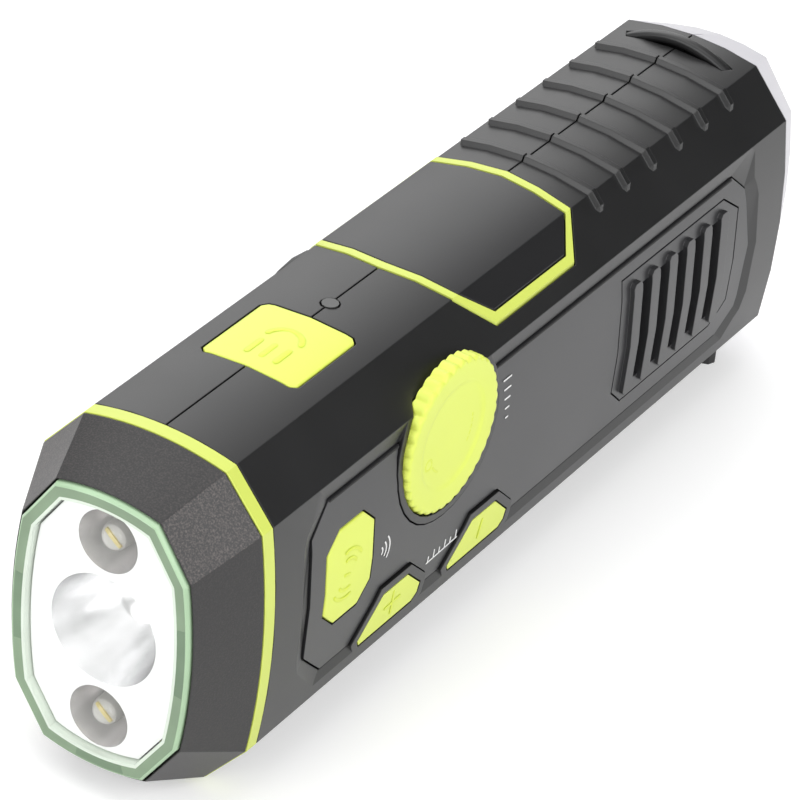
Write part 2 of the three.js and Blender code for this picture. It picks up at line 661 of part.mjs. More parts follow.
// Left shell: the crank's dish, bearings, gear pillars, battery cradle and charging socket
function leftShell() {
  const dishCut = rod('x', dish.radius, hubFace - overrun, dishFloor, crankAxis, dish.steps);
  const dishBack = rod('x', dish.radius + wall, -beyondSide, dishInner, crankAxis, dish.steps);
  const bushHole = rod('x', crankBush.radius + fitGap, -beyondSide, 0, crankAxis);
  const pillars = plateHoles.map((hole) => rod(
    'x', gearPlate.pillarRadius, -beyondSide, plateFace - seatGap, hole, pinSteps,
  ));
  const pillarHoles = plateHoles.map((hole) => rod(
    'x', plateScrew.radius + fitGap, plateFace - plateScrew.length, 0, hole, pinSteps,
  ));
  const axleBosses = [gearAxis1, gearAxis2].map((axis) => rod(
    'x', 3 * axleRadius, -beyondSide, driveLayer - layerGap, axis, pinSteps,
  ));
  const axleHoles = [gearAxis1, gearAxis2].map((axis) => rod(
    'x', axleRadius + fitGap, dishFloor + axleRadius, 0, axis, pinSteps,
  ));
  const cradles = [batteryFront + cradle.inset, batteryRear - cradle.inset].map((y) => block(
    -beyondSide, batteryX, y - cradle.thickness / 2, y + cradle.thickness / 2, -beyondTop,
    battery.centreZ,
  ));
  const cellSpace = rod(
    'y', battery.radius + fitGap, batteryFront - fitGap, batteryRear + battery.capLength + fitGap,
    [batteryX, battery.centreZ],
  );
  const screwPillars = screwPlaces.map((place) => rod(
    'x', caseScrew.pillarRadius, -beyondSide, 0, place, pinSteps,
  ));
  const screwHoles = screwPlaces.map((place) => rod(
    'x', caseScrew.radius + fitGap, -beyondSide, 0, place, pinSteps,
  ));
  const headHoles = screwPlaces.map((place) => rod(
    'x', caseScrew.headRadius + fitGap, -beyondSide, screwSeat, place, smallSteps,
  ));
  const coverCut = block(
    -beyondSide, coverFloor,
    cover.front - fitGap, cover.hingeY + cover.thickness / 2 + fitGap,
    -cover.halfHeight - fitGap, cover.halfHeight + fitGap,
  );
  const socketHole = block(
    -beyondSide, 0,
    socket.centreY - socket.halfLength - fitGap, socket.centreY + socket.halfLength + fitGap,
    -socket.halfHeight - fitGap, socket.halfHeight + fitGap,
  );
  const coverBack = block(
    -beyondSide, coverFloor + wall,
    cover.front - wall, cover.hingeY + 2 * wall,
    -cover.halfHeight - wall, cover.halfHeight + wall,
  );
  const socketPosts = [-1, 1].map((side) => rod(
    'x', socketBoard.postRadius, -beyondSide, socketFace - fitGap,
    [socket.centreY, side * (socketBoard.halfHeight - socketBoard.postRadius)], pinSteps,
  ));
  const inside = [
    dishBack, ...pillars, ...axleBosses, ...cradles, ...screwPillars, coverBack, ...socketPosts,
  ];
  const cutters = [
    dishCut, bushHole, ...pillarHoles, ...axleHoles, cellSpace, ...screwHoles, ...headHoles, coverCut,
    socketHole,
  ];
  return shellHalf(-1, inside, cutters);
}
const socketFace = coverFloor + wall + socket.depth / 2; // outer face of the socket's small board

// Right shell: recesses of the panel, its islands round the tuning buttons and the dial's well
function rightShell() {
  const islands = join(tuningCentres.map((y) => prism(
    'x', offsetOutline(tuningOutline(y), tuningButton.islandWidth), 0, beyondSide,
  )));
  const lip = rod('x', lipRadius, 0, beyondSide + overrun, dialCentre, dialWell.steps);
  const recess = prism('x', offsetOutline(panelOutline, fitGap), 0, beyondSide)
    .subtract(caseBody(panelSink + panelThickness + fitGap));
  const bevelFoot = panelOutline.map(([y, z]) => [y, z, sideAt(z) - panelSink]);
  const bevelRim = bevelOutline.map(([y, z]) => [y, z, sideAt(z)]);
  const bevelEnd = bevelRim.map((point, i) => point.map(
    (value, k) => value + panelBevel.runShare * (value - bevelFoot[i][k]),
  ));
  const bevel = loft('x', [
    { outline: bevelFoot }, { outline: bevelEnd },
    { outline: bevelEnd.map(([y, z]) => [y, z]), at: beyondSide + overrun },
  ]).subtract(caseBody(panelSink));
  const panelCut = recess.add(bevel).subtract(islands).subtract(lip);
  const backing = prism('x', offsetOutline(panelOutline, wall), 0, beyondSide)
    .subtract(caseBody(panelSink + panelThickness + fitGap + panelBacking));
  const well = rod('x', lipRadius, wellBack, beyondSide, dialCentre, dialWell.steps);
  const wellCut = rod('x', wellRadius, wellFloor, beyondSide + overrun, dialCentre, dialWell.steps);
  const shaftHole = rod('x', dialShaft.radius + fitGap, 0, beyondSide, dialCentre, dialShaft.steps);
  const posts = boardPosts.map((place) => rod(
    'x', mainBoard.postRadius, mainBoardFace + fitGap, beyondSide, place, pinSteps,
  ));
  const speakerPlace = [speaker.centreY, speaker.centreZ];
  const seatOuter = rod('x', speaker.radius, speakerFront + fitGap, beyondSide, speakerPlace, speakerSteps);
  const seatInner = rod('x', speaker.radius - speakerSeat.ring, 0, beyondSide, speakerPlace, speakerSteps);
  const soundWindow = prism('x', offsetOutline(grilleOutline, -speakerSeat.ring), 0, beyondSide).intersect(
    seatInner,
  );
  const buttonHoles = [sirenOutline, ...tuningCentres.map(tuningOutline)].map((outline) => prism(
    'x', offsetOutline(outline, fitGap), 0, beyondSide,
  ));
  const screwPillars = screwPlaces.map((place) => rod(
    'x', caseScrew.pillarRadius, 0, beyondSide, place, pinSteps,
  ));
  const screwHoles = screwPlaces.map((place) => rod(
    'x', caseScrew.radius + fitGap, 0, caseScrew.length + screwSeat + fitGap, place, pinSteps,
  ));
  const inside = [backing, well, ...posts, seatOuter.subtract(seatInner), ...screwPillars];
  const cutters = [panelCut, wellCut, shaftHole, soundWindow, ...buttonHoles, ...screwHoles];
  return shellHalf(1, inside, cutters);
}

// Front: bezel, ring, lens, reflector and its lamps
function bezelOutlineAt(y) {
  const share = y / bezelLength;
  const blend = (key) => THREE.MathUtils.lerp(frontSection[key], caseSection[key], share);
  return {
    halfWidth: blend('halfWidth'), halfHeight: blend('halfHeight'),
    topFlat: blend('topFlat'), sideFlat: blend('sideFlat'), crown: blend('crown'),
  };
}

function bezelSolid() {
  const rear = bezelLength - partingGap;
  const outer = loft('y', [
    { outline: sectionOutline(bezelOutlineAt(bezelSetback)), at: bezelSetback },
    { outline: sectionOutline(bezelOutlineAt(rear)), at: rear },
  ]);
  const lensSeat = lensRimDepth + fitGap;
  const hollow = loft('y', [
    { outline: sectionOutline(frontSection, lensRimWidth), at: -overrun },
    { outline: sectionOutline(frontSection, lensRimWidth), at: lensSeat },
    { outline: sectionOutline(bezelOutlineAt(rear), wall + fitGap + tongueThickness), at: rear },
    {
      outline: sectionOutline(caseSection, wall + fitGap + tongueThickness),
      at: shellFront + tongueLength + overrun,
    },
  ]);
  const lensPocket = prism('y', sectionOutline(frontSection, -fitGap), -overrun, lensSeat);
  const tongue = prism(
    'y', sectionOutline(caseSection, wall + fitGap), rear - bezelWall, shellFront + tongueLength,
  );
  return cut(outer.add(tongue), [hollow, lensPocket]);
}

function ringSolid() {
  const from = ringFront;
  const to = shellFront;
  return prism('y', sectionOutline(caseSection), from, to)
    .subtract(prism('y', sectionOutline(caseSection, wall), from - overrun, to + overrun));
}

function lensSolid() {
  const rim = lensRimWidth / 2;
  const outer = loft('y', [
    { outline: sectionOutline(frontSection, rim / 2), at: 0 },
    { outline: sectionOutline(frontSection), at: rim / 2 },
    { outline: sectionOutline(frontSection), at: lensRimDepth },
  ]);
  const inner = prism(
    'y', sectionOutline(frontSection, lensRimWidth), lensThickness, lensRimDepth + overrun,
  );
  return outer.subtract(inner);
}

// A reflector cup: parabola from the rim at the front to the throat at the back
function cupProfile(cup, grow) {
  const profile = [];
  for (let i = 0; i <= cupRings; i += 1) {
    const t = i / cupRings;
    profile.push([cup.throat + (cup.radius - cup.throat) * Math.sqrt(1 - t) + grow, t * cup.depth]);
  }
  return profile;
}

function reflectorSolid() {
  const front = lensThickness + fitGap;
  const plate = prism(
    'y', sectionOutline(frontSection, lensRimWidth + fitGap), front, front + reflectorThickness,
  );
  const cups = [[mainCup, 0], [sideCup, sideCupOffset], [sideCup, -sideCupOffset]];
  const outers = cups.map(([cup, z]) => turned(
    'y',
    [[0, front], ...cupProfile(cup, cupWall).map(([r, y]) => [r, y + front]), [0, front + cup.depth]],
    [0, z], cup.steps,
  ));
  const inners = cups.map(([cup, z]) => {
    const deep = cupProfile(cup, 0).map(([r, y]) => [r, y + front]);
    const mouth = front - overrun;
    const end = front + cup.depth + overrun;
    return turned(
      'y', [[0, mouth], [cup.radius, mouth], ...deep, [cup.throat, end], [0, end]], [0, z], cup.steps,
    );
  });
  const room = prism('y', sectionOutline(frontSection, lensRimWidth + fitGap), -overrun, shellFront);
  return cut(join([plate, ...outers]).intersect(room), inners);
}

function roundLedSolid(boardFace, direction) {
  const base = boardFace + direction * fitGap;
  const along = (distance) => base + direction * distance;
  const lead = roundLed.flangeThickness;
  const shoulder = along(lead + roundLed.flangeThickness + roundLed.length - roundLed.radius);
  const dome = [];
  for (let i = 0; i <= 3; i += 1) {
    const angle = (Math.PI * i) / 6;
    dome.push(
      [roundLed.radius * Math.cos(angle), shoulder + direction * roundLed.radius * Math.sin(angle)],
    );
  }
  dome[3][0] = 0;
  const lens = turned('y', [
    [0, along(lead)], [roundLed.flangeRadius, along(lead)],
    [roundLed.flangeRadius, along(lead + roundLed.flangeThickness)],
    [roundLed.radius, along(lead + roundLed.flangeThickness)], ...dome,
  ], [0, 0], ledSteps);
  const half = roundLed.leadSide / 2;
  const [low, high] = [base, along(lead + half)].sort((p, q) => p - q);
  const leads = [-1, 1].map((side) => block(
    side * roundLed.leadSpread - half, side * roundLed.leadSpread + half, low, high, -half, half,
  ));
  return join([lens, ...leads]);
}

function mainLedSolid(boardFace) {
  const base = boardFace - seatGap;
  const chip = block(
    -mainLed.halfSide, mainLed.halfSide, base - mainLed.height, base, -mainLed.halfSide, mainLed.halfSide,
  );
  const face = base - mainLed.height;
  const cap = [];
  for (let i = 0; i < 3; i += 1) {
    const angle = (Math.PI * i) / 6;
    cap.push([mainLed.domeRadius * Math.cos(angle), face - mainLed.domeRadius * Math.sin(angle)]);
  }
  const sunk = base - mainLed.height / 2;
  const dome = turned('y', [
    [0, sunk], [mainLed.domeRadius, sunk], ...cap, [0, face - mainLed.domeRadius],
  ], [0, 0], ledSteps);
  return chip.add(dome);
}

// Control side
function panelSolid() {
  const islands = tuningCentres.map((y) => prism(
    'x', offsetOutline(tuningOutline(y), tuningButton.islandWidth + fitGap), 0, beyondSide,
  ));
  const plate = prism('x', panelOutline, 0, beyondSide).intersect(caseSkin(
    panelSink, panelSink + panelThickness,
  ));
  const dialCut = rod('x', lipRadius + fitGap, 0, beyondSide + overrun, dialCentre, dialWell.steps);
  const grilleCut = prism('x', offsetOutline(grilleOutline, fitGap), 0, beyondSide);
  const sirenCut = prism('x', offsetOutline(sirenOutline, fitGap), 0, beyondSide);
  return cut(plate, [...islands, dialCut, grilleCut, sirenCut]);
}

function grilleSolid() {
  const plate = prism('x', grilleOutline, 0, beyondSide).intersect(caseSkin(
    panelSink, panelSink + grilleThickness,
  ));
  const barCentres = Array.from({ length: barCount }, (_, i) => barFirstY + i * grilleBar.pitch);
  const barOutline = (y) => cutCorners(
    y, grille.centreZ, grilleBar.width / 2, grilleBar.halfHeight, grilleBar.width / 4, grilleBar.width / 4,
  );
  const bars = barCentres.map((y) => prism('x', barOutline(y), 0, beyondSide));
  const ridges = join(bars).intersect(caseSkin(panelSink - grilleBar.raise, panelSink + grilleThickness));
  const slots = barCentres.slice(1).map((y) => {
    const middle = y - grilleBar.pitch / 2;
    const half = (grilleBar.pitch - grilleBar.width) / 2;
    const reach = grilleBar.halfHeight - grilleBar.width / 2;
    return block(
      0, beyondSide, middle - half, middle + half, grille.centreZ - reach, grille.centreZ + reach,
    );
  });
  return cut(plate, slots).add(ridges);
}

// A side button: its cap fills the hole and follows the case, and a flange inside holds it
function sideButtonSolid(outline) {
  const capBack = sideFlangeFace - buttonFlange.thickness / 2;
  const cap = prism('x', outline, capBack, beyondSide).intersect(caseBody(-sideRaise));
  const flange = prism(
    'x', offsetOutline(outline, buttonFlange.width), sideFlangeFace - buttonFlange.thickness,
    sideFlangeFace,
  );
  return cap.add(flange);
}

function dialOutline(inset) {
  const points = [];
  const perScallop = 2;
  for (let i = 0; i < dial.scallops * perScallop; i += 1) {
    const angle = (2 * Math.PI * i) / (dial.scallops * perScallop);
    const wave = Math.abs(Math.sin((dial.scallops * angle) / 2));
    const radius = dial.radius - inset - dial.scallopDepth * (1 - wave);
    points.push([radius * Math.cos(angle), radius * Math.sin(angle)]);
  }
  return points;
}

// The dial turns about the X axis through its own origin
function dialSolid() {
  const wheel = loft('x', [
    { outline: dialOutline(0), at: dialBack },
    { outline: dialOutline(0), at: dialFace - dialBevel },
    { outline: dialOutline(dialBevel), at: dialFace },
  ]);
  const dishCut = turned('x', [
    [0, dialFace - dialDish.depth], [dialDish.radius - dialDish.depth, dialFace - dialDish.depth],
    [dialDish.radius, dialFace + dialDish.depth], [0, dialFace + dialDish.depth],
  ], [0, 0], speakerSteps);
  const shaft = rod(
    'x', dialShaft.radius, volumeFloor + fitGap, dialBack + dialBevel, [0, 0], dialShaft.steps,
  );
  return wheel.subtract(dishCut).add(shaft);
}
const volumeFloor = mainBoardBack - seatGap - volumeControl.length + volumeControl.bottom;

function tactSwitchSolid() {
  const body = block(
    0, tactSwitch.height, -tactSwitch.halfSide, tactSwitch.halfSide, -tactSwitch.halfSide,
    tactSwitch.halfSide,
  );
  const plunger = rod(
    'x', tactSwitch.plungerRadius, tactSwitch.height / 2, tactSwitch.height + tactSwitch.plungerHeight,
    [0, 0], smallSteps,
  );
  return body.add(plunger);
}

function speakerSolid() {
  const back = speakerFront - speaker.flange;
  const magnetBack = basketBack - magnetDepthShare * (basketBack - plateBack);
  return turned('x', [
    [0, speakerFront - speaker.coneDepth], [speaker.magnetRadius / 2, speakerFront - speaker.coneDepth],
    [speaker.radius - speaker.flange, speakerFront - speaker.flange / 2],
    [speaker.radius - speaker.flange, speakerFront], [speaker.radius, speakerFront], [speaker.radius, back],
    [speaker.magnetRadius + speaker.flange, basketBack], [speaker.magnetRadius, basketBack],
    [speaker.magnetRadius, magnetBack], [0, magnetBack],
  ], [speaker.centreY, speaker.centreZ], speakerSteps);
}

// Left side: crank parts are modelled about the crank's own axis
const armOuter = dishFloor - crankGap - crankArm.thickness;
const armInner = dishFloor - crankGap;
const gripX = armInner - crankGap / 3 - handle.gripRadius;
const pinY = crankArm.length;
const gripEnd = pinY - handle.rootRadius - layerGap;
const gripStart = gripEnd - handle.gripLength;
const windowHalf = handle.gripRadius + windowGap;
const headStart = gripStart - fitGap - handle.headLength;

function armOutline() {
  const points = [];
  const steps = 12;
  for (let i = 0; i <= steps; i += 1) {
    const angle = -Math.PI / 2 + (Math.PI * i) / steps;
    points.push(
      [crankArm.length + crankArm.tipRadius * Math.cos(angle), crankArm.tipRadius * Math.sin(angle)],
    );
  }
  points.push([0, crankArm.rootHalfWidth], [0, -crankArm.rootHalfWidth]);
  return points;
}

function crankArmSolid() {
  const hub = turned('x', [
    [0, armInner], [crankHub.radius, armInner], [crankHub.radius, hubFace + crankHub.bevel],
    [crankHub.radius - crankHub.bevel, hubFace], [0, hubFace],
  ], [0, 0], hubSteps);
  const arm = prism('x', armOutline(), armOuter, armInner);
  const window = block(
    hubFace - overrun, 0, headStart - windowGap, pinY + handle.rootRadius + layerGap, -windowHalf,
    windowHalf,
  );
  const thumbScoop = rod(
    'x', windowHalf + windowGap, hubFace - overrun, gripX, [headStart + windowHalf, 0], smallSteps,
  );
  const pinHole = rod(
    'z', handlePin.radius + fitGap, -crankHub.radius, crankHub.radius, [gripX, pinY], pinSteps,
  );
  const shaftHole = rod('x', crankShaft.radius + fitGap, shaftHead - fitGap, 0);
  const screwHole = rod('x', crankScrew.radius + fitGap, hubFace - overrun, 0);
  const headHole = rod(
    'x', crankScrew.headRadius + fitGap, hubFace - overrun, shaftHead - crankGap - webThickness,
  );
  const capHole = rod(
    'x', hubCap.radius + fitGap, hubFace - overrun, hubFace + hubCap.thickness,
  );
  return cut(hub.add(arm), [window, thumbScoop, pinHole, shaftHole, screwHole, headHole, capHole]);
}
const webThickness = 1; // of the hub between the shaft's end and the screw's head
const shaftHead = armInner - crankArm.thickness / 3;

function crankShaftSolid() {
  const journal = rod('x', crankShaft.endRadius, plateFace - layerGap, plateBack, [0, 0], smallSteps);
  const body = rod('x', crankShaft.radius, shaftHead, plateFace - layerGap / 2, [0, 0], smallSteps);
  const thread = rod(
    'x', crankScrew.radius + fitGap, shaftHead - overrun, shaftHead + crankScrew.length, [0, 0], pinSteps,
  );
  return join([body, journal]).subtract(thread);
}

function crankScrewSolid() {
  const seat = shaftHead - fitGap - webThickness - seatGap;
  const head = rod('x', crankScrew.headRadius, seat - crankScrew.headHeight, seat, [0, 0], smallSteps);
  const shank = rod(
    'x', crankScrew.radius, seat - crankScrew.headHeight / 2, shaftHead + crankScrew.length / 2, [0, 0],
    pinSteps,
  );
  return head.add(shank);
}

function hubCapSolid() {
  const back = hubFace + hubCap.thickness - seatGap;
  return turned('x', [
    [0, back], [hubCap.radius, back], [hubCap.radius, hubFace + hubCap.thickness / 3],
    [hubCap.radius - hubCap.thickness / 2, hubFace], [0, hubFace],
  ], [0, 0], smallSteps);
}

// The handle is modelled about its hinge pin, folded, and points back at the hub (-Y)
function handleStemSolid() {
  const root = rod('z', handle.rootRadius, -windowHalf + fitGap, windowHalf - fitGap, [0, 0], smallSteps);
  const stem = rod(
    'y', handle.stemRadius, headStart - pinY + handle.headLength / 2, -handle.rootRadius / 2, [0, 0],
    smallSteps,
  );
  const head = rod(
    'y', handle.headRadius, headStart - pinY, headStart + handle.headLength - pinY, [0, 0], smallSteps,
  );
  const bore = rod('z', handlePin.radius + fitGap, -crankHub.radius, crankHub.radius, [0, 0], pinSteps);
  return join([root, stem, head]).subtract(bore);
}

function gripSolid() {
  const [from, to] = [gripStart - pinY, gripEnd - pinY];
  const bevel = handle.gripRadius / 4;
  const waist = handle.gripRadius - bevel / 2;
  const bore = handle.stemRadius + fitGap;
  return turned('y', [
    [bore, from], [handle.gripRadius - bevel, from], [handle.gripRadius, from + bevel],
    [handle.gripRadius, from + 3 * bevel], [waist, from + 5 * bevel], [waist, to - 5 * bevel],
    [handle.gripRadius, to - 3 * bevel], [handle.gripRadius, to - bevel],
    [handle.gripRadius - bevel, to], [bore, to], [bore, from],
  ], [0, 0], smallSteps);
}

function compoundGearSolid(wheelStage, wheelAt, pinionStage, pinionAt, wheelTurn, pinionTurn) {
  const wheel = prism(
    'x', gearOutline(wheelStage, wheelStage.wheelTeeth, wheelTurn), wheelAt, wheelAt + wheelStage.width,
  );
  const pinion = prism(
    'x', gearOutline(pinionStage, pinionStage.pinionTeeth, pinionTurn), pinionAt,
    wheelAt + wheelStage.width / 2,
  );
  const bore = rod(
    'x', axleRadius + fitGap, pinionAt - overrun, wheelAt + wheelStage.width + overrun, [0, 0], pinSteps,
  );
  return wheel.add(pinion).subtract(bore);
}

function driveGearSolid() {
  const wheel = prism(
    'x', gearOutline(driveStage, driveStage.wheelTeeth, 0), driveLayer, driveLayer + driveStage.width,
  );
  const bore = rod('x', crankShaft.radius + fitGap, driveLayer - overrun, 0, [0, 0], smallSteps);
  const windowRadius = pitchRadius(driveStage, driveStage.wheelTeeth) / gearWindows;
  const windows = Array.from({ length: gearWindows }, (_, i) => {
    const angle = (2 * Math.PI * i) / gearWindows;
    const reach = 3 * windowRadius;
    return rod(
      'x', windowRadius, driveLayer - overrun, 0, [reach * Math.cos(angle), reach * Math.sin(angle)],
      pinSteps,
    );
  });
  return cut(wheel, [bore, ...windows]);
}

function gearPlateSolid() {
  const reach = gearPlate.margin;
  const [top, bottom, rear] = plateHoles;
  const outline = [
    [bottom[0] - reach, bottom[1] - reach], [gearAxis1[0] + reach, bottom[1] - reach],
    [rear[0] + reach, -rear[1] - reach], [rear[0] + reach, rear[1] + reach],
    [gearAxis1[0] + reach, top[1] + reach], [top[0] - reach, top[1] + reach],
  ];
  const plate = prism('x', outline, plateFace, plateBack);
  const bore = (radius, axis) => rod(
    'x', radius + fitGap, plateFace - overrun, plateBack + overrun, axis, pinSteps,
  );
  return cut(plate, [
    bore(crankShaft.endRadius, crankAxis), bore(axleRadius, gearAxis1), bore(axleRadius, gearAxis2),
    bore(2 * dynamo.shaft, rotorAxis), ...plateHoles.map((hole) => bore(plateScrew.radius, hole)),
  ]);
}

function rotorSolid(turn) {
  const front = plateBack + 2 * fitGap;
  const magnet = rod(
    'x', dynamo.rotorRadius, front, front + dynamoWidth - poleInset, [0, 0], smallSteps,
  );
  const shaft = rod('x', dynamo.shaft, lastLayer, front + poleInset, [0, 0], pinSteps);
  const pinion = prism(
    'x', gearOutline(lastStage, lastStage.pinionTeeth, turn), lastLayer, lastLayer + lastStage.width,
  );
  return join([magnet, shaft, pinion]);
}

function statorSolid() {
  const front = plateBack + seatGap;
  const rear = front + dynamoWidth;
  const ring = rod('x', dynamo.radius, front, rear, [0, 0], hubSteps)
    .subtract(rod('x', dynamo.radius - dynamo.ring, front - overrun, rear + overrun, [0, 0], hubSteps));
  const poles = Array.from({ length: dynamo.poles }, (_, i) => {
    const half = dynamo.poleWidth / 2;
    const inner = dynamo.rotorRadius + dynamo.airGap;
    const arm = block(
      front + poleInset, rear - poleInset, inner, dynamo.radius - dynamo.ring / 2, -half, half,
    );
    return arm.rotate([(360 * i) / dynamo.poles, 0, 0]);
  });
  const core = rod(
    'x', dynamo.rotorRadius + dynamo.airGap, front - overrun, rear + overrun, [0, 0], smallSteps,
  );
  return join([ring, ...poles]).subtract(core);
}

function batterySolid() {
  const rear = batteryRear;
  return turned('y', [
    [0, batteryFront], [battery.radius, batteryFront], [battery.radius, rear], [battery.capRadius, rear],
    [battery.capRadius, rear + battery.capLength], [0, rear + battery.capLength],
  ], [batteryX, battery.centreZ], smallSteps);
}

// Tail lamp
const tailRear = shellRear + tailLength;
const tailTongueTop = slotFloor - slot.wall - fitGap;

function diffuserSolid() {
  const front = shellRear;
  const outer = loft('y', [
    { outline: sectionOutline(caseSection), at: front },
    { outline: sectionOutline(tailSection), at: tailRear },
  ]);
  const inner = loft('y', [
    { outline: sectionOutline(caseSection, wall), at: front - overrun },
    { outline: sectionOutline(caseSection, wall), at: front },
    { outline: sectionOutline(tailSection, wall), at: tailRear - wall },
  ]);
  const from = front - tongueLength;
  const tongue = prism('y', sectionOutline(caseSection, wall + fitGap), from, front + wall)
    .subtract(prism(
      'y', sectionOutline(caseSection, wall + fitGap + tongueThickness), from - overrun, front + 2 * wall,
    ))
    .subtract(block(-beyondSide, beyondSide, from - overrun, front - fitGap, tailTongueTop, beyondTop));
  const core = loft('y', [
    { outline: sectionOutline(caseSection, seamGap), at: front },
    { outline: sectionOutline(tailSection, seamGap), at: tailRear + overrun },
  ]);
  const seam = block(
    -seamGap / 2, seamGap / 2, front - overrun, tailRear + overrun, 0, beyondTop,
  ).subtract(core);
  return outer.subtract(inner).subtract(seam).add(tongue);
}

function rearBoardSolid() {
  const from = shellRear - tongueLength + fitGap;
  return prism(
    'y', sectionOutline(caseSection, wall + tongueThickness + 2 * fitGap), from, from + boardThickness,
  )
    .intersect(block(-beyondSide, beyondSide, from - overrun, shellRear, -beyondTop, tailTongueTop));
}

function lanyardBar() {
  const half = slot.halfLength + slot.wall - fitGap;
  const arc = (drop, reverse) => {
    const points = Array.from({ length: bar.steps + 1 }, (_, i) => {
      const t = (2 * i) / bar.steps - 1;
      return [half * t, caseTop + bar.crest - drop - (bar.crest + bar.endDrop) * t ** 2];
    });
    return reverse ? points.reverse() : points;
  };
  const middle = slot.frontY + bar.setback + bar.width / 2;
  const bevel = bar.width / 4;
  const ring = (inset) => [...arc(inset, false), ...arc(bar.thickness - inset, true)];
  return loft('y', [
    { outline: ring(bevel), at: middle - bar.width / 2 },
    { outline: ring(0), at: middle - bar.width / 2 + bevel },
    { outline: ring(0), at: middle + bar.width / 2 - bevel },
    { outline: ring(bevel), at: middle + bar.width / 2 },
  ]);
}

function screwSolid(size, seat, direction) {
  const ends = [seat, seat - direction * size.headHeight].sort((p, q) => p - q);
  const shank = [seat - direction * size.headHeight / 2, seat + direction * size.length].sort(
    (p, q) => p - q,
  );
  return rod('x', size.headRadius, ends[0], ends[1], [0, 0], pinSteps)
    .add(rod('x', size.radius, shank[0], shank[1], [0, 0], pinSteps));
}

// The cover turns about the Z axis through its own origin, at its rear end
function coverSolid() {
  const half = cover.thickness / 2;
  const front = cover.front - cover.hingeY;
  const flap = block(-half, half, front, 0, -cover.halfHeight, cover.halfHeight);
  const knuckle = rod('z', half, -cover.halfHeight, cover.halfHeight, [0, 0], pinSteps);
  const plugY = socket.centreY - cover.hingeY;
  const reach = socket.halfLength - socket.wall - fitGap;
  const height = socket.halfHeight - socket.wall - fitGap;
  const plug = block(0, half + cover.plugLength, plugY - reach, plugY + reach, -height, height);
  return join([flap, knuckle, plug]);
}

function socketSolid() {
  const outer = block(
    socketFace - socket.depth, socketFace - seatGap,
    -socket.halfLength, socket.halfLength, -socket.halfHeight, socket.halfHeight,
  );
  const inner = block(
    socketFace - socket.depth - overrun, socketFace - seatGap - socket.wall,
    -socket.halfLength + socket.wall, socket.halfLength - socket.wall,
    -socket.halfHeight + socket.wall, socket.halfHeight - socket.wall,
  );
  const tongue = block(
    socketFace - socket.depth / 2, socketFace - seatGap - socket.wall / 2,
    -socket.halfLength / 2, socket.halfLength / 2, -socket.wall / 2, socket.wall / 2,
  );
  return outer.subtract(inner).add(tongue);
}

// Assembly of the case
addPiece('left_shell', leftShell(), blackPlastic);
addPiece('right_shell', rightShell(), blackPlastic);
addPiece('front_bezel', bezelSolid(), texturedPlastic);
addPiece('front_ring', ringSolid(), limePlastic);
addPiece('front_lens', lensSolid(), clearPlastic);
addPiece('reflector', reflectorSolid(), whitePlastic);
addPiece('rear_diffuser', diffuserSolid(), tailPlastic);

const saddleDepth = saddleSink - fitGap;
const saddleInner = saddleOutline(saddle.trimLowWidth, saddle.trimWidth);
const topPanelCut = prism('z', offsetOutline(saddleInner, -partingGap), 0, beyondTop);
const trimHole = prism('z', offsetOutline(saddleInner, partingGap), -overrun, beyondTop + overrun);
addPiece('top_panel', topPanelCut.intersect(caseSkin(-saddleRaise, saddleDepth)), greyPanel);
addPiece(
  'top_panel_trim',
  prism('z', saddleOutline(0, 0), 0, beyondTop).subtract(trimHole).intersect(caseSkin(
    -trimRaise, saddleDepth,
  )),
  limePlastic,
);

// Front lamps on their board
const ledBoardOutline = sectionOutline(caseSection, wall + tongueThickness + 2 * fitGap);
addPiece(
  'front_led_board', prism('y', ledBoardOutline, ledBoardSetback, ledBoardSetback + boardThickness),
  boardGreen,
);
addPiece('main_led', mainLedSolid(ledBoardSetback), clearPlastic);
for (const [name, side] of [['upper_led', 1], ['lower_led', -1]]) {
  addPiece(name, roundLedSolid(ledBoardSetback, -1), clearPlastic).position.z = side * sideCupOffset;
}

// Tail lamps
const rearBoardBack = shellRear - tongueLength + fitGap + boardThickness;
addPiece('rear_led_board', rearBoardSolid(), boardGreen);
for (const [name, side] of [['rear_led_upper', 1], ['rear_led_lower', -1]]) {
  addPiece(name, roundLedSolid(rearBoardBack, 1), clearPlastic).position.z = side * rearLedOffset;
}

// Light button, charge light and their board
const lightCap = prism('z', lightOutline, flangeTop - buttonFlange.thickness / 2, beyondTop).intersect(
  caseBody(-lightButton.raise),
);
const lightFlange = prism(
  'z', offsetOutline(lightOutline, buttonFlange.width), flangeTop - buttonFlange.thickness, flangeTop,
);
addPiece('light_button', lightCap.add(lightFlange), limePlastic);
const topBoardOutline = [
  [-topBoard.halfWidth, topBoardFront], [topBoard.halfWidth, topBoardFront],
  [topBoard.halfWidth, topBoardRear], [-topBoard.halfWidth, topBoardRear],
];
addPiece(
  'light_switch_board', prism('z', topBoardOutline, topBoardFace - boardThickness, topBoardFace),
  boardGreen,
);
const lightSwitch = addPiece('light_switch', tactSwitchSolid(), blackPlastic);
lightSwitch.rotation.y = -Math.PI / 2;
lightSwitch.position.set(0, lightButton.centreY, topBoardFace + seatGap);
addPiece('charge_light', rod(
  'z', chargeLight.radius, topBoardFace + fitGap, caseTop + chargeLight.raise, [0, chargeLight.centreY],
  smallSteps,
), clearPlastic);

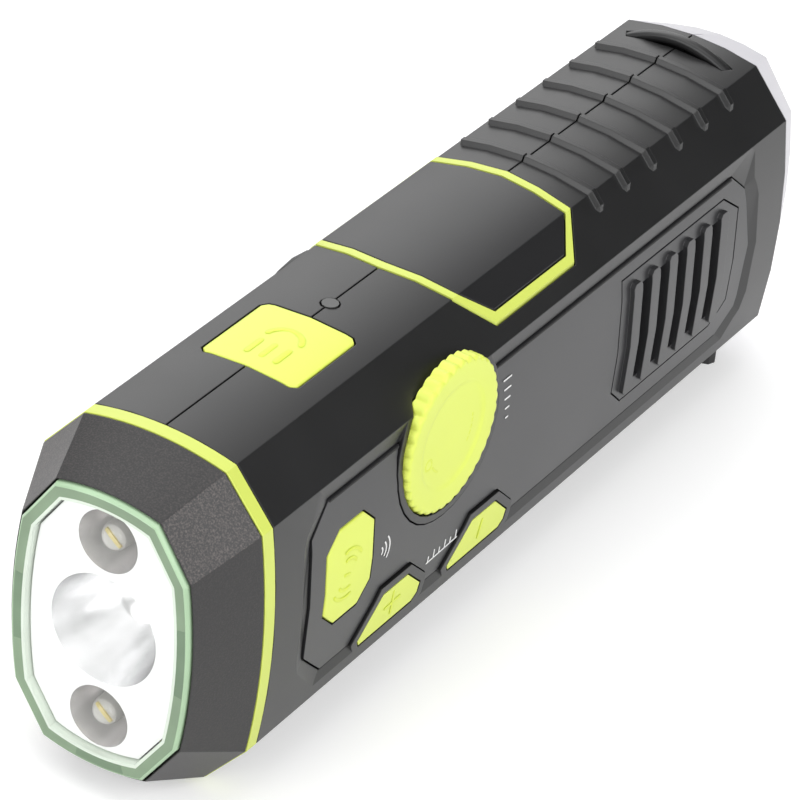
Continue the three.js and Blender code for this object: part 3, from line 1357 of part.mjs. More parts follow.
// Control side
addPiece('control_panel', panelSolid(), greyPanel);
addPiece('speaker_grille', grilleSolid(), greyPanel);
addPiece('speaker', speakerSolid(), magnetGrey);
addPiece('siren_button', sideButtonSolid(sirenOutline), limePlastic);
addPiece('tuning_up_button', sideButtonSolid(tuningOutline(tuningButton.upY)), limePlastic);
addPiece('tuning_down_button', sideButtonSolid(tuningOutline(tuningButton.downY)), limePlastic);
addPiece('radio_dial', dialSolid(), limePlastic).position.set(0, dial.centreY, dial.centreZ);

const mainBoardOutline = [
  [mainBoard.front, mainBoard.bottom], [mainBoard.rear, mainBoard.bottom],
  [mainBoard.rear, mainBoard.top], [mainBoard.front, mainBoard.top],
];
const shaftPass = rod(
  'x', dialShaft.radius + fitGap, mainBoardBack - overrun, beyondSide, dialCentre, dialShaft.steps,
);
addPiece(
  'main_board', prism('x', mainBoardOutline, mainBoardBack, mainBoardFace).subtract(shaftPass), boardGreen,
);
const volumeBody = block(
  mainBoardBack - seatGap - volumeControl.length, mainBoardBack - seatGap,
  -volumeControl.halfSide, volumeControl.halfSide, -volumeControl.halfSide, volumeControl.halfSide,
).subtract(rod('x', dialShaft.radius + fitGap, volumeFloor, beyondSide, [0, 0], dialShaft.steps));
addPiece('volume_control', volumeBody, magnetGrey).position.set(0, dial.centreY, dial.centreZ);
const sideSwitches = [
  ['siren_switch', sirenButton.centreY, sirenButton.centreZ],
  ['tuning_up_switch', tuningButton.upY, tuningButton.centreZ],
  ['tuning_down_switch', tuningButton.downY, tuningButton.centreZ],
];
for (const [name, y, z] of sideSwitches) {
  addPiece(name, tactSwitchSolid(), blackPlastic).position.set(mainBoardFace + seatGap, y, z);
}
addPiece('battery', batterySolid(), cellWrap);

// Crank, its handle and the gear train
addPiece('crank_arm', crankArmSolid(), blackPlastic, crankGroup);
addPiece('crank_shaft', crankShaftSolid(), steel, crankGroup);
addPiece('crank_screw', crankScrewSolid(), steel, crankGroup);
addPiece('hub_cap', hubCapSolid(), greyPanel, crankGroup);
addPiece('drive_gear', driveGearSolid(), whiteNylon, crankGroup);
const bushSolid = rod('x', crankBush.radius, dishFloor, dishInner + layerGap, [0, 0])
  .subtract(rod('x', crankShaft.radius + fitGap, dishFloor - overrun, 0, [0, 0]));
addPiece('crank_bush', bushSolid, brass, crankGroup);
const hinge = new THREE.Group();
hinge.position.set(gripX, pinY, 0);
crankGroup.add(hinge);
const pinHalf = crankArm.tipRadius - handlePin.headDepth;
addPiece('handle_pin', rod('z', handlePin.radius, -pinHalf, pinHalf, [0, 0], pinSteps), steel, hinge);
addPiece('handle_stem', handleStemSolid(), steel, hinge);
addPiece('crank_grip', gripSolid(), blackPlastic, hinge);

const pinionTurn1 = meshTurn(driveStage, 0);
const pinionTurn2 = meshTurn(middleStage, 0);
const pinionTurn3 = meshTurn(lastStage, 0);
addPiece(
  'compound_gear_1',
  compoundGearSolid(middleStage, middleLayer, driveStage, driveLayer, 0, pinionTurn1),
  whiteNylon,
).position.set(0, ...gearAxis1);
addPiece(
  'compound_gear_2',
  compoundGearSolid(lastStage, lastLayer, middleStage, middleLayer, 0, pinionTurn2),
  whiteNylon,
).position.set(0, ...gearAxis2);
const axleSolid = rod('x', axleRadius, dishFloor + axleRadius + fitGap, plateBack, [0, 0], pinSteps);
addPiece('gear_axle_1', axleSolid, steel).position.set(0, ...gearAxis1);
addPiece('gear_axle_2', axleSolid, steel).position.set(0, ...gearAxis2);
addPiece('gear_plate', gearPlateSolid(), magnetGrey);
addPiece('dynamo_rotor', rotorSolid(pinionTurn3), magnetGrey).position.set(0, ...rotorAxis);
addPiece('dynamo_stator', statorSolid(), brass).position.set(0, ...rotorAxis);
plateHoles.forEach((hole, i) => {
  const screw = screwSolid(plateScrew, plateBack + seatGap, -1);
  addPiece(`gear_plate_screw_${i + 1}`, screw, steel).position.set(0, ...hole);
});

// Case screws and the charging socket
screwPlaces.forEach((place, i) => {
  const screw = screwSolid(caseScrew, screwSeat - seatGap, 1);
  addPiece(`case_screw_${i + 1}`, screw, steel).position.set(0, ...place);
});
const socketBoardOutline = [
  [-socketBoard.halfLength, -socketBoard.halfHeight], [socketBoard.halfLength, -socketBoard.halfHeight],
  [socketBoard.halfLength, socketBoard.halfHeight], [-socketBoard.halfLength, socketBoard.halfHeight],
];
addPiece(
  'socket_board', prism('x', socketBoardOutline, socketFace, socketFace + boardThickness), boardGreen,
)
  .position.y = socket.centreY;
addPiece('charging_socket', socketSolid(), steel).position.y = socket.centreY;
addPiece('socket_cover', coverSolid(), rubber).position.set(
  coverFloor - fitGap - cover.thickness / 2, cover.hingeY, 0,
);

// The finished lamp stands on its feet, centred over the origin
const lampOuter = new THREE.Group();
lampOuter.add(lamp);
const rightmost = Math.max(dialFace, sideAt(0) + grilleBar.raise - panelSink);
lamp.position.set((-hubFace - rightmost) / 2, -overallLength / 2, caseSection.halfHeight + foot.drop);

export default lampOuter;
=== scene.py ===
# Hand crank flashlight: finish, fine surfaces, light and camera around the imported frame.
# The frame is in metres: X across the lamp with the dial on +X, Y from the lens to the tail
# lamp, Z up from the ground under the feet. Sizes and places written here are millimetres from
# the middle of the lens face, as in the part's source, and at() brings them into the frame.

import json
import math

import bmesh
import bpy
from mathutils import Matrix, Vector


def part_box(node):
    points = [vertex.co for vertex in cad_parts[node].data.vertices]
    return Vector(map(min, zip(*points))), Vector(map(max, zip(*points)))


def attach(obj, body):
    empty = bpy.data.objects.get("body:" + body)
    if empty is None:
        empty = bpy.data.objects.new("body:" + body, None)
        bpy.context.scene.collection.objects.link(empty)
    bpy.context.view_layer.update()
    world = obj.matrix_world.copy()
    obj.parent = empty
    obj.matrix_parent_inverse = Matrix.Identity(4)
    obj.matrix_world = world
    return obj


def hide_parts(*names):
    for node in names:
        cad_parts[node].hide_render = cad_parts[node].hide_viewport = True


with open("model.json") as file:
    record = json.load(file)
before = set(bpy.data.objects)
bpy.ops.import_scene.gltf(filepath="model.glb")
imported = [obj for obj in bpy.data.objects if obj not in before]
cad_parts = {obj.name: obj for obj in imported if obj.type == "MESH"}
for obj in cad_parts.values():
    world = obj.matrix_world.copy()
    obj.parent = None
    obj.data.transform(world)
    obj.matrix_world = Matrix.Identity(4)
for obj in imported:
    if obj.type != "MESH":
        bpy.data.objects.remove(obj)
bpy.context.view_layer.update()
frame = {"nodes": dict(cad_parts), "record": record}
nodes = frame["nodes"]

MM = 0.001
body_of_node = {
    node: body for body, members in frame["record"]["behaviour"]["bodies"].items() for node in members
}
slot_of_node = {part["node"]: part["material_slot"] for part in frame["record"]["subparts"]}

lens_low, lens_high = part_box("front_lens")
ORIGIN = Vector(((lens_low.x + lens_high.x) / 2, lens_low.y, (lens_low.z + lens_high.z) / 2))

# Camera, at the photograph's viewing angle
CAMERA_TARGET = (0.02376, -0.04888, 0.06055)  # metres
CAMERA_AZIMUTH = 29.54  # degrees, turned from looking along +Y
CAMERA_ELEVATION = 32.71
CAMERA_ROLL = 5.47
CAMERA_DISTANCE = 0.72  # metres
CAMERA_CLIP_START = 0.01
CAMERA_LENS = 200.75  # mm on the default 36 mm sensor

# Eight-sided sections: half the width and height, half the flat of the top and of the sides,
# and the rise of their crowns
CASE = {"width": 21.2, "height": 30.0, "top": 13.66, "side": 21.2, "crown": 1.7}
FRONT = {"width": 15.94, "height": 24.87, "top": 9.78, "side": 15.85, "crown": 1.3}
CROWN_STEPS = 12

# Profiles round the front: inset from the section's outline, and y
BEZEL_LENGTH = 13.2
BEZEL_OUTSIDE = ((0.15, 13.05), (0.0, 12.9), (0.0, 9.0), (0.0, 5.0), (0.0, 1.1), (0.03, 0.9))
BEZEL_POCKET = ((-0.3, 0.95), (-0.3, 3.9), (2.7, 3.9))
BEZEL_INSIDE = (4.2, 13.05)
RING_PROFILE = ((0.1, 13.2), (0.0, 13.3), (0.0, 15.9), (0.1, 16.0), (2.4, 16.0), (2.4, 13.2))
RIM_WIDTH = 2.7
RIM_DEPTH = 3.6
RIM_GREEN, RIM_PALE, RIM_CLIP_SHADE, RIM_LIP = range(4)  # places in the rim's list of materials
RIM_PROFILE = (  # with the material of the band that starts there
    (0.0, RIM_DEPTH, RIM_PALE), (0.0, 0.75, RIM_PALE), (0.08, 0.42, RIM_PALE), (0.28, 0.12, RIM_PALE),
    (0.5, 0.0, RIM_GREEN), (0.62, 0.04, RIM_GREEN), (RIM_WIDTH - 0.55, 0.04, RIM_LIP),
    (RIM_WIDTH - 0.42, 0.0, RIM_LIP), (RIM_WIDTH - 0.1, 0.0, RIM_LIP), (RIM_WIDTH, 0.12, RIM_LIP),
    (RIM_WIDTH, RIM_DEPTH, RIM_GREEN),
)
RIM_FACE_BAND = 5  # the flat band of the rim
# darker stretches of the flat band where clips behind the rim show through: partly the clips, partly
# their painted shade
RIM_CLIP_SHADE_SPANS = {0: (0.3, 0.62), 2: (0.3, 0.62), 3: (0.3, 0.7)}  # along its right, left and lower side
PANE = {"front": 0.12, "back": 1.0, "overlap": 0.02}

# Reflector with its cups, and the small lamps in them
PLATE = {"front": 1.5, "back": 2.6, "inset": 3.0}
MAIN_CUP = {"radius": 10.2, "throat": 3.4, "depth": 13.2, "steps": 96}
SIDE_CUP = {"radius": 5.7, "throat": 2.9, "depth": 7.4, "steps": 64}
SIDE_CUP_OFFSET = 17.1
CUPS = {  # with the height of each over the middle
    "main": (MAIN_CUP, 0.0), "upper": (SIDE_CUP, SIDE_CUP_OFFSET), "lower": (SIDE_CUP, -SIDE_CUP_OFFSET),
}
CUP_WALL = 0.7
CUP_PROFILE_STEPS = 16
CUP_LIP = {"width": 0.02, "drop": 0.3}
LAMP = {"tip": 1.5, "radius": 2.5, "flange": 2.9, "flange_depth": 1.0, "shoulder": 0.15, "axis": 0.02}
LAMP_STEPS = 40
LAMP_DOME_STEPS = 8
LAMP_SEAT = ((1.9, 3.3), (2.1, 3.5), (2.1, 9.0))  # radius and y
LAMP_CHIP = {"half_length": 1.6, "half_width": 0.28, "front": 3.0, "back": 3.4, "turn": -40}

# Faces that lie a little higher or lower than those of the solids, as the photograph shows them:
# levels over the crowned side or top of the case
SOLID_LEVEL = {"panel": -0.9, "key": 0.15, "light": 0.25}
FINE_LEVEL = {"panel": -0.5, "siren": -0.38, "key": -0.05, "light": 0.08}
FACET_ERROR = 0.2  # how far the solids' flat facets may lie off the true crown
LIP = {"inner": 14.3, "outer": 16.1, "low": 14.0, "high": 17.0, "stand": 0.1}  # round the dial's well

# Rounding and shading of the copies of solids
WELD = 0.002
FLAT_ANGLE = 0.4  # degrees between triangles of one flat face
ROUNDED_ANGLE = 28  # edges sharper than this get rounded
ROUNDED_SEGMENTS = 3
# A facet is a piece of a crown when its normal faces along X or Z, leans a little to the side or
# the top but not along Y, and lies within this angle in degrees of the true crown's
CROWN_FACET = {"facing": 0.9, "side_lean": 0.02, "top_lean": 0.03, "along": 0.02, "angle": 5}
# Edges sharper than this many degrees stay sharp
SHARP_SHELL = 12
SHARP_FRONT = 20
SHARP_LENS = 25
SHARP_COPY = 32
SHARP_CUP = 40
SHARP_PLAIN = 50
SHARP_SOFT = 60

# Thumb wheel of the radio
DIAL = {"y": 68.7, "z": 12.2, "radius": 14.3, "face": 22.9, "back": 19.8, "scallops": 36, "depth": 0.45}
DIAL_STEPS = 12  # to each scallop
DIAL_PROFILE = (  # radius taken off, depth behind the face, share of the scallops' depth
    (0.0, DIAL["face"] - DIAL["back"], 1.0), (0.0, 0.95, 1.0), (0.06, 0.6, 1.0), (0.2, 0.32, 0.95),
    (0.42, 0.13, 0.8), (0.75, 0.03, 0.5), (1.2, 0.0, 0.15), (2.4, 0.02, 0.0), (4.1, 0.12, 0.0),
    (4.45, 0.2, 0.0), (4.8, 0.36, 0.0), (5.2, 0.46, 0.0), (5.9, 0.5, 0.0), (10.0, 0.5, 0.0),
    (13.9, 0.5, 0.0),
)
DIAL_DISH_DEPTH = 0.5
DIAL_SHAFT = {"radius": 2.5, "overlap": 0.2, "steps": 32}

# Seam between the shells, and the bar over the lanyard slot
SEAM_TONGUE = {"half_width": 0.5, "low": 29.6, "high": 30.2}
TOP_SEAM_SPANS = ((16.4, 38.0), (58.2, 61.4), (65.2, 77.8), (120.2, 176.5))
LOWER_SEAM_SPAN = (16.4, 186.0)
LANYARD_BAR = {
    "half": 12.9, "y": 180.8, "top": 33.6, "drop": 4.5, "width": 2.36, "thickness": 2.02,
    "depth": 0.95,  # of its middle under the line through top
    "squareness": 0.75, "steps": 36, "sides": 24,
}


def at(x, y, z):
    """A point of the frame from a place in millimetres."""
    return ORIGIN + Vector((x, y, z)) * MM


def add_camera():
    azimuth, elevation, roll = (
        math.radians(angle) for angle in (CAMERA_AZIMUTH, CAMERA_ELEVATION, CAMERA_ROLL)
    )
    forward = Vector((
        -math.sin(azimuth) * math.cos(elevation),
        math.cos(azimuth) * math.cos(elevation),
        -math.sin(elevation),
    ))
    level = forward.cross(Vector((0, 0, 1))).normalized()
    upright = level.cross(forward)
    right = level * math.cos(roll) + upright * math.sin(roll)
    up = right.cross(forward)
    camera = bpy.data.objects.new("camera", bpy.data.cameras.new("camera"))
    camera.data.lens = CAMERA_LENS
    camera.data.clip_start = CAMERA_CLIP_START
    camera.matrix_world = Matrix((right, up, -forward)).transposed().to_4x4()
    camera.location = Vector(CAMERA_TARGET) - forward * CAMERA_DISTANCE
    bpy.context.scene.collection.objects.link(camera)
    bpy.context.scene.camera = camera


# Materials. Noise scales are per metre.
TONE_SCALE = 90.0  # slow change of colour
GLOSS_SCALE = 45.0  # slow change of roughness
GLOSS_CHANGE = 0.02
BEVEL_SAMPLES = 6
METAL_TONES = (0.9, 1.05)
METAL_GLOSS = (-0.04, 0.05)  # change of roughness
ACRYLIC = {"ior": 1.49, "scale": 40.0, "tone": 0.97}
SHEET = {"roughness": 0.04, "scale": 60.0, "tone": 0.98}
# Speckles show on grain this high, more so on faces that slope up, and less on level ones: painted
# glints, as if light from above caught the grain
SPECKLE_GRAIN = (0.44, 0.72)
GLINT_SLOPING = {"low": 0.15, "high": 1.0, "start": 0.12, "end": 0.45}
GLINT_LEVEL = {"low": 1.0, "high": 0.35, "start": 0.65, "end": 0.9}


class Look:
    """Short hand for building one material's node tree."""

    def __init__(self, name):
        self.material = bpy.data.materials.new(name)
        self.material.use_nodes = True
        self.tree = self.material.node_tree
        self.shader = self.tree.nodes["Principled BSDF"]

    def add(self, kind, settings=None, inputs=None):
        node = self.tree.nodes.new(kind)
        for key, value in (settings or {}).items():
            setattr(node, key, value)
        for key, value in (inputs or {}).items():
            self.feed(node.inputs[key], value)
        return node

    def feed(self, socket, value):
        if isinstance(value, bpy.types.NodeSocket):
            self.tree.links.new(value, socket)
        else:
            socket.default_value = value

    def set(self, **values):
        for key, value in values.items():
            self.feed(self.shader.inputs[key.replace("_", " ")], value)

    def noise(self, scale):
        place = self.add("ShaderNodeTexCoord").outputs["Object"]
        return self.add("ShaderNodeTexNoise", {}, {"Vector": place, "Scale": scale}).outputs["Fac"]

    def ramp(self, value, low, high, start=0.35, end=0.65):
        """A colour that runs from low to high as value runs from start to end."""
        node = self.add("ShaderNodeValToRGB", {}, {"Fac": value})
        for element, position, colour in zip(node.color_ramp.elements, (start, end), (low, high)):
            element.position = position
            element.color = colour
        return node.outputs["Color"]

    def spread(self, value, low, high, start=0.3, end=0.7):
        """A number that runs from low to high as value runs from start to end."""
        return self.add("ShaderNodeMapRange", {}, {
            "Value": value, "From Min": start, "From Max": end, "To Min": low, "To Max": high,
        }).outputs["Result"]

    def math(self, operation, first, second):
        return self.add("ShaderNodeMath", {"operation": operation}, {0: first, 1: second}).outputs[0]

    def bump(self, height, distance, edge=0.0):
        """Relief of that depth in metres over edges that look rounded by the radius edge."""
        node = self.add("ShaderNodeBump", {}, {"Height": height, "Distance": distance})
        if edge:
            soft = self.add("ShaderNodeBevel", {"samples": BEVEL_SAMPLES}, {"Radius": edge})
            self.feed(node.inputs["Normal"], soft.outputs["Normal"])
        self.feed(self.shader.inputs["Normal"], node.outputs["Normal"])


def shade(colour, factor=1.0):
    return tuple(min(1.0, channel * factor) for channel in colour[:3]) + (1.0,)


def painted_glint_share(look):
    """How much of the speckle shows, by the slope of the surface: a painted glint, as if light from above
    caught the grain on faces that slope up.
    """
    facing = look.add("ShaderNodeSeparateXYZ", {}, {
        "Vector": look.add("ShaderNodeTexCoord").outputs["Normal"],
    }).outputs["Z"]
    sloping = look.spread(facing, **GLINT_SLOPING)
    return look.math("MULTIPLY", sloping, look.spread(facing, **GLINT_LEVEL))


def moulded(name, colour, roughness, grain, depth, variation=0.03, specular=0.5, edge=0.0, speckle=None):
    """Moulded plastic: a fine grain in relief and tone, and a slow change of gloss. depth and edge
    are in mm, and speckle is the colour of the grain's high points: partly dust, partly a painted
    glint, since it shows most on faces that slope up, as if lit from above."""
    look = Look(name)
    fine = look.noise(grain)
    if speckle:
        # the speckle's share by slope is a painted glint of light from above
        grains = look.math("MULTIPLY", look.spread(fine, 0.0, 1.0, *SPECKLE_GRAIN), painted_glint_share(look))
        look.set(Base_Color=look.ramp(grains, shade(colour), shade(speckle), 0.0, 1.0))
    else:
        tone = look.noise(TONE_SCALE)
        look.set(Base_Color=look.ramp(tone, shade(colour, 1 - variation), shade(colour, 1 + variation)))
    gloss = look.noise(GLOSS_SCALE)
    look.set(Roughness=look.spread(gloss, roughness - GLOSS_CHANGE, roughness + GLOSS_CHANGE))
    look.set(Specular_IOR_Level=specular)
    look.bump(fine, depth * MM, edge * MM)
    return look.material


def metal(name, colour, roughness, scale=300.0, depth=0.0, metallic=1.0):
    """Metal or metal plating, a little uneven in tone and gloss, and in relief by depth in mm."""
    look = Look(name)
    slow = look.noise(scale)
    tones = (shade(colour, tone) for tone in METAL_TONES)
    look.set(Base_Color=look.ramp(slow, *tones), Metallic=metallic)
    gloss = (roughness + change for change in METAL_GLOSS)
    look.set(Roughness=look.spread(look.noise(3 * scale), *gloss))
    if depth:
        look.bump(slow, depth * MM)
    return look.material


def glass(name, colour, roughness):
    look = Look(name)
    tone = look.noise(ACRYLIC["scale"])
    look.set(Base_Color=look.ramp(tone, shade(colour, ACRYLIC["tone"]), shade(colour)))
    look.set(Roughness=roughness, Transmission_Weight=1.0, IOR=ACRYLIC["ior"])
    return look.material


def thin_clear(name, colour, cover):
    """A thin clear sheet: cover is how much it hides of what is behind it."""
    look = Look(name)
    tone = look.noise(SHEET["scale"])
    look.set(Base_Color=look.ramp(tone, shade(colour, SHEET["tone"]), shade(colour)))
    look.set(Roughness=SHEET["roughness"], Alpha=cover)
    return look.material


CASE_BLACK = (0.010, 0.010, 0.0105)
BEZEL_BLACK = (0.018, 0.0175, 0.018)
# colour of the bezel's speckle: light dust, and a painted glint where faces slope up
BEZEL_DUST_AND_GLINT = (0.095, 0.080, 0.076)
# a darker copy of the panel grey for the saddle on top: painted shade that tones down how brightly the
# top is lit
PANEL_GREY_TOP_SHADE = (0.012, 0.012, 0.013)
PANEL_GREY = (0.030, 0.030, 0.032)
LIME = (0.71, 0.81, 0.12)
# a darker copy of the lime: painted shade that makes the raised signs stand out
LIME_SIGN_SHADE = (0.68, 0.78, 0.07)
# a darker copy of the lime for the front ring and the saddle trim: painted shade that tones down how
# brightly they are lit
LIME_TOP_SHADE = (0.61, 0.70, 0.125)

# Materials by the record's slot. moulded() takes a colour, the roughness, the grain per metre, its
# depth in mm and the share by which the tone varies.
materials = {
    "case_black": moulded("case_black", CASE_BLACK, 0.36, 5200.0, 0.008, specular=0.6, edge=0.28),
    "bezel_black": moulded(
        "bezel_black", BEZEL_BLACK, 0.40, 3300.0, 0.035, speckle=BEZEL_DUST_AND_GLINT, edge=0.35,
    ),
    "panel_grey": moulded("panel_grey", PANEL_GREY, 0.34, 5200.0, 0.008, specular=0.56),
    "lime": moulded("lime", LIME, 0.40, 3000.0, 0.005, 0.01),
    "clear": glass("clear", (0.96, 0.97, 0.95), 0.03),
    "white": moulded("white", (0.93, 0.93, 0.93), 0.15, 900.0, 0.002, 0.01),
    "tail_white": moulded("tail_white", (0.50, 0.49, 0.53), 0.30, 3000.0, 0.005, 0.015),
    "board": moulded("board", (0.03, 0.16, 0.07), 0.4, 1500.0, 0.01, 0.15),
    "steel": metal("steel", (0.55, 0.56, 0.58), 0.3),
    "brass": metal("brass", (0.62, 0.42, 0.14), 0.32),
    "nylon": moulded("nylon", (0.75, 0.74, 0.69), 0.45, 3000.0, 0.01, 0.03),
    "dark_grey": moulded("dark_grey", (0.02, 0.02, 0.022), 0.6, 3000.0, 0.01),
    "rubber": moulded("rubber", (0.02, 0.02, 0.02), 0.75, 4000.0, 0.03),
    "cell": moulded("cell", (0.03, 0.2, 0.1), 0.3, 1200.0, 0.005, 0.1),
}
panel_grey_top_shade = moulded("panel_grey_top_shade", PANEL_GREY_TOP_SHADE, 0.34, 5200.0, 0.008)
lime_sign_shade = moulded("lime_sign_shade", LIME_SIGN_SHADE, 0.42, 3000.0, 0.005, 0.01)
lime_top_shade = moulded("lime_top_shade", LIME_TOP_SHADE, 0.40, 3000.0, 0.005, 0.01)
lens_green = moulded("lens_green", (0.21, 0.30, 0.19), 0.16, 700.0, 0.004, 0.10)
# darker green for those stretches: partly the clips behind the rim, partly their painted shade
lens_clip_shade = moulded("lens_clip_shade", (0.15, 0.23, 0.14), 0.16, 700.0, 0.004, 0.10)
lens_pale = moulded("lens_pale", (0.38, 0.55, 0.35), 0.12, 700.0, 0.003, 0.06)
lens_lip = moulded("lens_lip", (0.66, 0.74, 0.64), 0.12, 700.0, 0.003, 0.04)
lens_pane = thin_clear("lens_pane", (0.93, 0.97, 0.93), 0.05)
mirror = metal("mirror", (0.93, 0.93, 0.935), 0.22, 120.0, 0.012, 0.9)
silver = metal("silver", (0.78, 0.76, 0.755), 0.20, 500.0, 0.03, 0.6)
lamp_seat = moulded("lamp_seat", (0.70, 0.68, 0.66), 0.25, 900.0, 0.002, 0.05)
amber = moulded("amber", (0.85, 0.70, 0.25), 0.3, 900.0, 0.002, 0.05)
print_white = moulded("print_white", (0.80, 0.80, 0.80), 0.5, 2000.0, 0.001, 0.01)
smoked = moulded("smoked", (0.045, 0.045, 0.045), 0.2, 900.0, 0.002, 0.05)


def linked(name, mesh):
    """A new object of the scene with that mesh."""
    piece = bpy.data.objects.new(name, mesh)
    bpy.context.scene.collection.objects.link(piece)
    return piece


def assign(obj, *choices):
    obj.data.materials.clear()
    for material in choices:
        obj.data.materials.append(material)


def adopt(piece, body, slot, *replaced):
    """Lets a piece ride on its body, and stand for the nodes that it replaces."""
    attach(piece, body)
    if replaced:
        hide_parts(*replaced)


# The case's crowned faces
def side_face(z):
    """How far out the right side lies at that height."""
    return CASE["width"] + CASE["crown"] * (1 - (z / CASE["side"]) ** 2)


def top_face(x):
    return CASE["height"] + CASE["crown"] * (1 - (x / CASE["top"]) ** 2)


def side_slope(z):
    return 2 * CASE["crown"] * z / CASE["side"] ** 2


def top_slope(x):
    return 2 * CASE["crown"] * x / CASE["top"] ** 2


def side_point(y, z, lift):
    """A point on the right side of the case raised by lift, and the surface's normal there."""
    return at(side_face(z) + lift, y, z), Vector((1, 0, side_slope(z))).normalized()


def top_point(x, y, lift):
    return at(x, y, top_face(x) + lift), Vector((top_slope(x), 0, 1)).normalized()


# Shading of fine surfaces
def crown_normal(normal, point):
    """The true surface normal where a facet is a piece of the case's crowned sides or top."""
    across = (point - ORIGIN) / MM
    if abs(normal.y) > CROWN_FACET["along"]:
        return normal
    if abs(normal.x) > CROWN_FACET["facing"] and abs(normal.z) > CROWN_FACET["side_lean"]:
        true = Vector((math.copysign(1, normal.x), 0, side_slope(across.z)))
    elif abs(normal.z) > CROWN_FACET["facing"] and abs(normal.x) > CROWN_FACET["top_lean"]:
        true = Vector((top_slope(across.x), 0, math.copysign(1, normal.z)))
    else:
        return normal
    true.normalize()
    return true if true.dot(normal) > math.cos(math.radians(CROWN_FACET["angle"])) else normal


def shade_fine(mesh, limit, crowned=False):
    """Normals per corner: large faces win over small ones, and edges sharper than limit stay sharp."""
    mesh.shade_smooth()
    fans = [[] for _ in mesh.vertices]
    for face in mesh.polygons:
        for index in face.vertices:
            place = mesh.vertices[index].co
            true = crown_normal(face.normal, place) if crowned else face.normal.copy()
            fans[index].append((face.normal.copy(), true, face.area))
    least = math.cos(math.radians(limit))
    normals = []
    for face in mesh.polygons:
        for index in face.vertices:
            total = Vector((0, 0, 0))
            for flat, true, area in fans[index]:
                if flat.dot(face.normal) > least:
                    total += true * area
            normals.append(total.normalized() if total.length else face.normal)
    mesh.normals_split_custom_set(normals)


# Rounded copies of the solids
def relevel_side(start, end):
    """Moves the points of a face that lies start over the right side to the level end."""
    def move(place):
        if abs(place.x - side_face(place.z) - start) < FACET_ERROR:
            return Vector((end - start, 0, 0))
        return None
    return move


def relevel_top(start, end):
    """Moves the points of a face that lies start over the top to the level end."""
    def move(place):
        if abs(place.z - top_face(place.x) - start) < FACET_ERROR:
            return Vector((0, 0, end - start))
        return None
    return move


def lower_lip(place):
    """Brings the lip round the dial's well down to the panel, and runs it out above the panel."""
    reach = math.hypot(place.y - DIAL["y"], place.z - DIAL["z"])
    if abs(place.x - side_face(place.z)) > FACET_ERROR or not LIP["inner"] < reach < LIP["outer"]:
        return None
    share = (LIP["high"] - place.z) / (LIP["high"] - LIP["low"])
    return Vector(((FINE_LEVEL["panel"] + LIP["stand"]) * min(1, max(0, share)), 0, 0))


def round_edges(piece, width):
    """Puts a mesh with rounded edges in the place of the piece's own."""
    plain = piece.data
    rounding = piece.modifiers.new("rounding", "BEVEL")
    rounding.width = width * MM
    rounding.segments = ROUNDED_SEGMENTS
    rounding.limit_method = "ANGLE"
    rounding.angle_limit = math.radians(ROUNDED_ANGLE)
    rounding.use_clamp_overlap = True
    rounding.miter_outer = "MITER_ARC"
    bpy.context.view_layer.update()
    rounded = piece.evaluated_get(bpy.context.evaluated_depsgraph_get())
    rounded = bpy.data.meshes.new_from_object(rounded)
    piece.modifiers.clear()
    piece.data = rounded
    bpy.data.meshes.remove(plain)


def fine_copy(name, bevel=0.0, crowned=True, limit=SHARP_COPY, reshape=None, finish=None):
    """A welded copy of a CAD node with rounded edges and shaded crowns, which stands for it."""
    mesh = nodes[name].data.copy()
    piece = linked(name + "_fine", mesh)
    work = bmesh.new()
    work.from_mesh(mesh)
    bmesh.ops.remove_doubles(work, verts=work.verts, dist=WELD * MM)
    for corner in work.verts if reshape else ():
        shift = reshape((corner.co - ORIGIN) / MM)
        if shift:
            corner.co += shift * MM
    if bevel:
        bmesh.ops.dissolve_limit(
            work, angle_limit=math.radians(FLAT_ANGLE), verts=work.verts, edges=work.edges,
            use_dissolve_boundaries=False,
        )
        bmesh.ops.triangulate(work, faces=[face for face in work.faces if len(face.verts) > 4])
    work.to_mesh(mesh)
    work.free()
    if bevel:
        round_edges(piece, bevel)
    shade_fine(piece.data, limit, crowned)
    assign(piece, finish or materials[slot_of_node[name]])
    adopt(piece, body_of_node[name], slot_of_node[name], name)


def fine_copies():
    """Copies of the outer solids, each with the width of its rounded edges."""
    sunk_panel = relevel_side(SOLID_LEVEL["panel"], FINE_LEVEL["panel"])
    lower_key = relevel_side(SOLID_LEVEL["key"], FINE_LEVEL["key"])
    lower_siren = relevel_side(SOLID_LEVEL["key"], FINE_LEVEL["siren"])
    # the saddle takes the darker copy of the panel grey: painted shade
    fine_copy("top_panel", 0.15, finish=panel_grey_top_shade)
    # the trim takes the darker copy of the lime: painted shade
    fine_copy("top_panel_trim", 0.15, finish=lime_top_shade)
    fine_copy("light_button", 0.3, reshape=relevel_top(SOLID_LEVEL["light"], FINE_LEVEL["light"]))
    fine_copy("control_panel", 0.2, reshape=sunk_panel)
    fine_copy("speaker_grille", 0.15, reshape=sunk_panel)
    fine_copy("siren_button", 0.35, reshape=lower_siren)
    fine_copy("tuning_up_button", 0.35, reshape=lower_key)
    fine_copy("tuning_down_button", 0.35, reshape=lower_key)
    fine_copy("rear_diffuser", 0.3)
    fine_copy("crank_arm", 0.4, crowned=False)
    fine_copy("hub_cap", 0.3, crowned=False)
    fine_copy("crank_grip", 0.3, crowned=False)
    fine_copy("socket_cover", 0.3, crowned=False)
    fine_copy("left_shell", limit=SHARP_SHELL)
    fine_copy("right_shell", limit=SHARP_SHELL, reshape=lower_lip)


